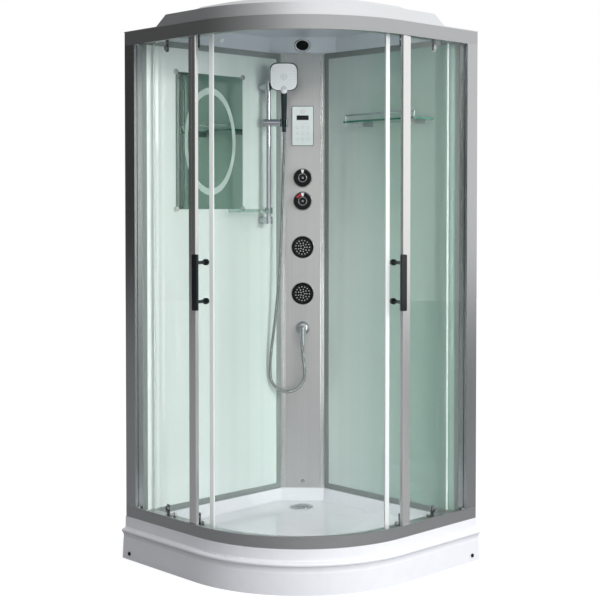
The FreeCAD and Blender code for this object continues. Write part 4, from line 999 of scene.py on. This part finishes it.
@dataclass
class Knob:
    """Detail on one turning knob: its chrome ring, hub and marks."""

    name: str
    body: str
    height: float
    hot_mark: bool = False
    front: float = 30 * MM
    ring_outer: float = 19 * MM
    ring_inner: float = 15.5 * MM
    hub: float = 5 * MM
    dish: float = 5 * MM
    radius: float = 38 * MM
    mark_from: float = 104.0
    mark_to: float = 150.0

    def build(self) -> None:
        """Builds the ring round the dish, the hub in it, the trim behind, the pointer and the hot mark."""
        r = self.radius
        trim = [(r + 0.8 * MM, 0), (r + 4 * MM, 0), (r + 3.4 * MM, 2.2 * MM), (r + 1.4 * MM, 2.6 * MM)]
        new_piece(f"{self.name}_trim", lathe(trim, column_place(self.height, 0), 64), BRIGHT_TRIM, "cabin")
        wedge = [(-3 * MM, 20.5 * MM), (3 * MM, 20.5 * MM), (7 * MM, 35.5 * MM), (-7 * MM, 35.5 * MM)]
        pointer = slab(wedge, 1.6 * MM, 0.3 * MM, column_place(self.height, self.front - 0.2 * MM))
        new_piece(f"{self.name}_pointer", pointer, WHITE_PRINT, self.body)
        at = column_place(self.height, self.front)
        ring = [(self.ring_inner, -MM), (self.ring_outer, -MM), (self.ring_outer, 0.3 * MM),
                (self.ring_outer - MM, 1.1 * MM), (self.ring_inner + MM, 0.9 * MM)]
        new_piece(f"{self.name}_ring", lathe(ring, at), CHROME, self.body)
        seat = -self.dish
        hub = [(0, seat), (self.hub, seat), (self.hub, seat + 1.6 * MM), (self.hub - MM, seat + 2.4 * MM),
               (0, seat + 2.6 * MM)]
        new_piece(f"{self.name}_hub", lathe(hub, at), CHROME, self.body)
        if self.hot_mark:
            new_piece(f"{self.name}_hot_mark", self.arc(at), HOT_PRINT, self.body)

    def arc(self, at: Matrix) -> Mesh:
        """Sweeps the hot mark's section through its part of a turn.

        Args:
            at: Middle of the knob's face.

        Returns:
            A closed mesh.
        """
        section = [(23 * MM, -0.5 * MM), (33 * MM, -0.5 * MM), (33 * MM, 0.25 * MM), (23 * MM, 0.25 * MM)]
        work = bmesh.new()
        first = work.faces.new([work.verts.new((r, 0, z)) for r, z in section])
        start = Matrix.Rotation(math.radians(self.mark_from), 3, "Z")
        bmesh.ops.rotate(work, verts=work.verts, matrix=start)
        bmesh.ops.spin(work, geom=[first, *first.edges, *first.verts], axis=(0, 0, 1), cent=(0, 0, 0),
                       steps=10, angle=math.radians(self.mark_to - self.mark_from))
        bmesh.ops.remove_doubles(work, verts=work.verts, dist=MERGE)
        return to_mesh(work, at)


@dataclass
class BodyJet:
    """Detail on one body jet: its bright rim and its nozzles."""

    name: str
    body: str
    height: float
    face: float = 17 * MM
    rim: float = 46.5 * MM
    rings: Rings = ((9 * MM, 5), (18.5 * MM, 9), (30 * MM, 15))
    nozzle: float = 2.9 * MM

    def build(self) -> None:
        """Builds the bright ring round the jet on the cabin, and the nozzles on the turning face."""
        r = self.rim
        rim = [(r + 0.1 * MM, 0), (r + 3.6 * MM, 0), (r + 3 * MM, 3 * MM), (r + 1 * MM, 3.6 * MM)]
        new_piece(f"{self.name}_rim", lathe(rim, column_place(self.height, 0), 64), BRIGHT_TRIM, "cabin")
        face = column_place(self.height, self.face)
        DotRings(self.rings, self.nozzle).build(f"{self.name}_nozzles", NOZZLE_TIP, face, self.body)


@dataclass
class Handset:
    """Face, nozzles and trim of the hand shower. Lengths along the handle start at its holder."""

    origin: Point = (-0.34333, 0.23467, 1.744)
    along: Point = (0.14702, -0.14702, 0.97815)
    head: float = 195 * MM
    face: float = 9 * MM
    half: float = 55.5 * MM
    power: float = 4.2
    thick: float = 1.2 * MM
    soft: float = 0.5 * MM
    button: float = 146 * MM
    button_clear: float = 14 * MM
    nozzles: Rings = ((25 * MM, 14), (34 * MM, 19), (43 * MM, 24), (51 * MM, 28))
    nozzle: float = 1.6 * MM
    spray: Rings = ((5 * MM, 5), (13 * MM, 12))
    spray_dot: float = 1.7 * MM
    neck: float = 14.3 * MM
    neck_top: float = 142 * MM
    neck_low: float = 125 * MM
    neck_side: float = 139 * MM
    neck_turn: float = 95.0

    def place(self, along: float, proud: float) -> Matrix:
        """Place on the head's face.

        Args:
            along: Distance up the handle from the holder.
            proud: How far in front of the face.

        Returns:
            A matrix whose z axis points out of the face and y axis up the handle.
        """
        axis = Vector(self.along).normalized()
        out = ACROSS.cross(axis)
        return axes(Vector(self.origin) + axis * along + out * (self.face + proud), ACROSS, axis, out)

    def chin(self) -> Mesh:
        """Makes the white tongue that runs from the face down over the front of the handle.

        Returns:
            A closed, curved shell whose lower edge is rounded.
        """
        steps = 24
        work = bmesh.new()
        loops = []
        for step in range(steps + 1):
            turn = math.radians(self.neck_turn * (2 * step / steps - 1))
            rise = 1 - math.cos(turn * 90 / self.neck_turn)
            low = self.neck_low + (self.neck_side - self.neck_low) * rise
            loop = [(self.neck + grow, height) for grow, height in (
                (0, low), (0.9 * MM, low + 0.6 * MM), (1.1 * MM, self.neck_top), (0, self.neck_top))]
            loops.append([work.verts.new((r * math.sin(turn), y, r * math.cos(turn))) for r, y in loop])
        for one, other in zip(loops, loops[1:]):
            for i in range(4):
                work.faces.new((one[i], one[(i + 1) % 4], other[(i + 1) % 4], other[i]))
        work.faces.new(loops[0])
        work.faces.new(loops[-1])
        return to_mesh(work, self.place(0, -self.face), smooth=True)

    def build(self) -> None:
        """Builds the white face with its tongue over the handle, the nozzles and the middle spray."""
        face = slab(soft_square(self.half, self.power), self.thick, self.soft, self.place(self.head, 0))
        new_piece("handset_face", face, SPRAY_FACE, "handset")
        new_piece("handset_chin", self.chin(), SPRAY_FACE, "handset")
        at = self.place(self.head, self.thick)
        nozzles = DotRings(self.nozzles, self.nozzle, clear_at=(0.0, self.button - self.head),
                           clear=self.button_clear)
        nozzles.build("handset_nozzles", PALE_RUBBER, at, "handset")
        DotRings(self.spray, self.spray_dot).build("handset_middle_spray", DARK_RUBBER_AND_HOLE_SHADOW, at, "handset")
        rim = [(9.2 * MM, 0), (11.5 * MM, 0), (11.2 * MM, 0.9 * MM), (9.6 * MM, 0.9 * MM)]
        at = self.place(self.button, self.thick - 0.2 * MM)
        new_piece("button_surround", lathe(rim, at), PALE_RUBBER, "handset")


@dataclass
class Hose:
    """Metal hose from the elbow to the hand shower, in three lengths.

    The depth of its ribs is a share of its radius.
    """

    radius: float = 6.75 * MM
    pitch: float = 4 * MM
    depth: float = 0.07
    sides: int = 16
    slider_from: float = 1.06
    holder_from: float = 1.28
    fall_start: Point = (-0.3494, 0.3494, 0.798)
    fall_end: Point = (-0.6265, 0.0723, 1.1682)
    route: tuple[Point, ...] = (
        (-0.3494, 0.3494, 0.798), (-0.3494, 0.3494, 0.748), (-0.3415, 0.3538, 0.697),
        (-0.3374, 0.3501, 0.636), (-0.3621, 0.3154, 0.591), (-0.3996, 0.2667, 0.590),
        (-0.4243, 0.2306, 0.634), (-0.4229, 0.2249, 0.696), (-0.4166, 0.2271, 0.775),
        (-0.4052, 0.2355, 0.880), (-0.3939, 0.2440, 1.010), (-0.3833, 0.2490, 1.170),
        (-0.3748, 0.2504, 1.350), (-0.3678, 0.2504, 1.530), (-0.3592, 0.2506, 1.6384),
        (-0.3489, 0.2403, 1.7068))

    def curve(self) -> Curve:
        """Draws the hose's middle line.

        Returns:
            A smooth curve with the route's points as its control points.
        """
        data = bpy.data.curves.new("hose_line", "CURVE")
        data.dimensions = "3D"
        data.resolution_u = 16
        spline = data.splines.new("NURBS")
        spline.points.add(len(self.route) - 1)
        for point, place in zip(spline.points, self.route):
            point.co = (*place, 1.0)
        spline.order_u = 3
        spline.use_endpoint_u = True
        return data

    def line(self, data: Curve) -> list[Vector]:
        """Reads the points of the hose's middle line from its curve.

        Args:
            data: The curve, with no bevel.

        Returns:
            Its points, in order.
        """
        holder = bpy.data.objects.new("hose_line", data)
        bpy.context.scene.collection.objects.link(holder)
        graph = bpy.context.evaluated_depsgraph_get()
        mesh = bpy.data.meshes.new_from_object(holder.evaluated_get(graph))
        points = [v.co.copy() for v in mesh.vertices]
        bpy.data.objects.remove(holder)
        return points

    def tree(self) -> NodeTree:
        """Builds the tree that sweeps a ribbed tube along one length of the line.

        Returns:
            The tree, whose inputs are where the length starts and ends, and the tube's sizes.
        """
        tree, given = start_tree("ribbed_hose", "From", "To", "Pitch", "Radius", "Depth")
        length = add_node(tree, "GeometryNodeTrimCurve", {"mode": "LENGTH"}, {
            "Curve": given, 4: given.outputs["From"], 5: given.outputs["To"]})
        quarter = add_node(tree, "ShaderNodeMath", {"operation": "DIVIDE", 1: 4.0},
                           {0: given.outputs["Pitch"]})
        steps = add_node(tree, "GeometryNodeResampleCurve", {"mode": "LENGTH"},
                         {"Curve": length, "Length": quarter})
        along = add_node(tree, "GeometryNodeSplineParameter")
        ribs = add_node(tree, "ShaderNodeMath", {"operation": "DIVIDE"},
                        {0: along.outputs["Length"], 1: given.outputs["Pitch"]})
        turn = add_node(tree, "ShaderNodeMath", {"operation": "MULTIPLY", 1: 2 * math.pi}, {0: ribs})
        wave = add_node(tree, "ShaderNodeMath", {"operation": "COSINE"}, {0: turn})
        swell = add_node(tree, "ShaderNodeMath", {"operation": "MULTIPLY"},
                         {0: wave, 1: given.outputs["Depth"]})
        share = add_node(tree, "ShaderNodeMath", {"operation": "ADD", 1: 1.0}, {0: swell})
        circle = add_node(tree, "GeometryNodeCurvePrimitiveCircle", {"Resolution": self.sides},
                          {"Radius": given.outputs["Radius"]})
        tube = add_node(tree, "GeometryNodeCurveToMesh", links={
            "Curve": steps, "Profile Curve": circle, "Scale": share})
        return end_tree(tree, tube, HOSE_STEEL, smooth=True)

    def tube(self, name: str, tree: NodeTree, start: float, end: float) -> Object:
        """Makes one length of the tube, which rides on nothing yet.

        Args:
            name: The piece's name.
            tree: The tube's tree.
            start: Where it starts along the line.
            end: Where it ends.

        Returns:
            The piece.
        """
        values = {"From": start, "To": end, "Pitch": self.pitch, "Radius": self.radius / (1 + self.depth),
                  "Depth": self.depth}
        return new_piece(name, bake_tree(tree, values, data=self.curve()), HOSE_STEEL)

    def build(self) -> None:
        """Builds the three lengths and the ferrules at both ends."""
        points = self.line(self.curve())
        whole = sum((b - a).length for a, b in zip(points, points[1:]))
        tree = self.tree()
        lower = self.tube("hose_lower", tree, 0.0, self.slider_from)
        middle = self.tube("hose_middle", tree, self.slider_from, self.holder_from)
        upper = self.tube("hose_upper", tree, self.holder_from, whole)
        near = self.ferrule("hose_ferrule_low", points[0], (points[1] - points[0]).normalized(), "cabin")
        far = self.ferrule("hose_ferrule_high", points[-1], (points[-2] - points[-1]).normalized(), "handset")
        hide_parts("shower_hose")
        self.declare(lower)
        self.declare(middle)
        self.declare(upper)

    def declare(self, piece: Object) -> None:
        """Reads the middles of a length's rings, and moves its place into its mesh.

        Args:
            piece: The length.
        """
        path = self.rings(piece)
        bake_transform(piece)

    def rings(self, piece: Object) -> list[Vector]:
        """Middles of a length's rings, from its start to its end."""
        corners, n = [v.co for v in piece.data.vertices], self.sides
        return [sum(corners[i:i + n], Vector()) / n for i in range(0, len(corners), n)]

    def ferrule(self, name: str, tip: Vector, out: Vector, body: str) -> Object:
        """Builds the tapered sleeve where the hose meets its nut.

        Args:
            name: The piece's name.
            tip: The hose's end.
            out: Direction along the hose, away from its end.
            body: The body it rides on.

        Returns:
            The piece.
        """
        side = out.orthogonal().normalized()
        r = self.radius
        taper = [(r + 0.2 * MM, 0), (r + 2.6 * MM, 0), (r + 2.4 * MM, 8 * MM), (r + 1.0 * MM, 22 * MM),
                 (r + 0.4 * MM, 26 * MM), (r + 0.2 * MM, 26 * MM)]
        return new_piece(name, lathe(taper, axes(tip, side, out.cross(side), out), 32), CHROME, body)


@dataclass
class ColumnTrim:
    """Bright ribs that run up both edges of the column."""

    first: float = 77.5 * MM
    spacing: float = 6.5 * MM
    count: int = 4
    radius: float = 2.1 * MM
    sunk: float = 0.6 * MM
    low: float = 0.167
    high: float = 2.044

    def tree(self) -> NodeTree:
        """Builds the tree that repeats one upright rib along a level line.

        Returns:
            The tree, whose inputs are the spacing and the rib's radius and length.
        """
        tree, given = start_tree("rib_row", "Spacing", "Radius", "Length")
        step = add_node(tree, "ShaderNodeCombineXYZ", links={"X": given.outputs["Spacing"]})
        line = add_node(tree, "GeometryNodeMeshLine", {"Count": self.count}, {"Offset": step})
        rib = add_node(tree, "GeometryNodeMeshCylinder", {"Vertices": 12},
                       {"Radius": given.outputs["Radius"], "Depth": given.outputs["Length"]})
        ribs = add_node(tree, "GeometryNodeInstanceOnPoints", {"Rotation": (math.pi / 2, 0, 0)},
                        {"Points": line, "Instance": rib})
        return end_tree(tree, ribs, BRIGHT_TRIM)

    def build(self) -> None:
        """Builds the rows of ribs on the left and the right edge."""
        tree = self.tree()
        values = {"Spacing": self.spacing, "Radius": self.radius, "Length": self.high - self.low}
        span = self.spacing * (self.count - 1)
        for side, aside in (("left", -self.first - span), ("right", self.first)):
            mesh = bake_tree(tree, values, column_place((self.low + self.high) / 2, -self.sunk, aside))
            new_piece(f"column_ribs_{side}", mesh, BRIGHT_TRIM, "cabin")


@dataclass
class Shelf:
    """Polished edge of the glass shelf, a skin just outside the glass and a little less tall."""

    left: float = -0.090
    right: float = 0.305
    front: float = 0.322
    wall: float = 0.4395
    low: float = 1.734
    thick: float = 8 * MM
    corner: float = 18 * MM
    skin: float = 0.4 * MM
    off_glass: float = 0.02 * MM
    short: float = 0.1 * MM

    def outline(self, out: float) -> list[Pair]:
        """Corners of the shelf's free edge, from the wall on the left round to the wall on the right.

        Args:
            out: How far outside the glass.

        Returns:
            The corners, in plan.
        """
        r, reach = self.corner, self.corner + out
        corners = [(self.left - out, self.wall)]
        for middle, first in ((self.left + r, 180), (self.right - r, 270)):
            for step in range(9):
                turn = math.radians(first + 90 * step / 8)
                corners.append((middle + reach * math.cos(turn), self.front + r + reach * math.sin(turn)))
        return [*corners, (self.right + out, self.wall)]

    def build(self) -> None:
        """Builds the green edge as a thin skin round the shelf."""
        skin = self.outline(self.skin) + self.outline(self.off_glass)[::-1]
        place = Matrix.Translation((0, 0, self.low + self.short))
        edge = slab(skin, self.thick - 2 * self.short, self.short, place)
        new_piece("shelf_edge", edge, GLASS_EDGE, "cabin")


@dataclass
class HoseElbow:
    """Domed cover of the hose elbow."""

    height: float = 0.860
    flange: float = 30 * MM
    pipe: float = 12.5 * MM
    out: float = 7 * MM
    rise: float = 15 * MM

    def build(self) -> None:
        """Builds the dome between the flange and the level pipe."""
        outer, inner, bore = self.flange - 0.6 * MM, self.pipe + 1.5 * MM, self.pipe + 0.1 * MM
        dome = [(bore, self.out - 2 * MM), (outer, self.out - 2 * MM)]
        for step in range(9):
            turn = math.radians(90 * step / 8)
            dome.append((inner + (outer - inner) * math.cos(turn), self.out + self.rise * math.sin(turn)))
        dome.append((bore, self.out + self.rise + 0.4 * MM))
        new_piece("elbow_dome", lathe(dome, column_place(self.height, 0), 56), CHROME, "cabin")


@dataclass
class ColumnFoot:
    """Small chromed stud at the foot of the column."""

    height: float = 0.19
    radius: float = 6 * MM
    proud: float = 8 * MM

    def build(self) -> None:
        """Builds the stud."""
        r = self.radius
        stud = [(0, 0), (r * 1.4, 0), (r * 1.4, 1.2 * MM), (r * 0.7, 1.8 * MM), (r * 0.7, 4 * MM),
                (r, 5 * MM), (r, 7 * MM), (r * 0.6, self.proud), (0, self.proud)]
        new_piece("column_foot_stud", lathe(stud, column_place(self.height, 0), 24), CHROME, "cabin")


def main() -> None:
    """Builds the studio and every sub-assembly in order, and reports each piece."""
    logging.basicConfig(level=logging.INFO, format="%(name)s %(message)s")
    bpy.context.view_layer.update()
    Studio().build()
    Hose().build()
    Enclosure().build()
    Ceiling().build()
    ColumnPanel().build()
    for knob in (Knob("mixer", "mixer", 1.4125, hot_mark=True), Knob("diverter", "diverter", 1.513)):
        knob.build()
    for jet in (BodyJet("lower_jet", "jet_lower", 1.011), BodyJet("upper_jet", "jet_upper", 1.2125)):
        jet.build()
    Handset().build()
    for detail in (ColumnTrim(), Shelf(), HoseElbow(), ColumnFoot()):
        detail.build()


if __name__ == "__main__":
    main()
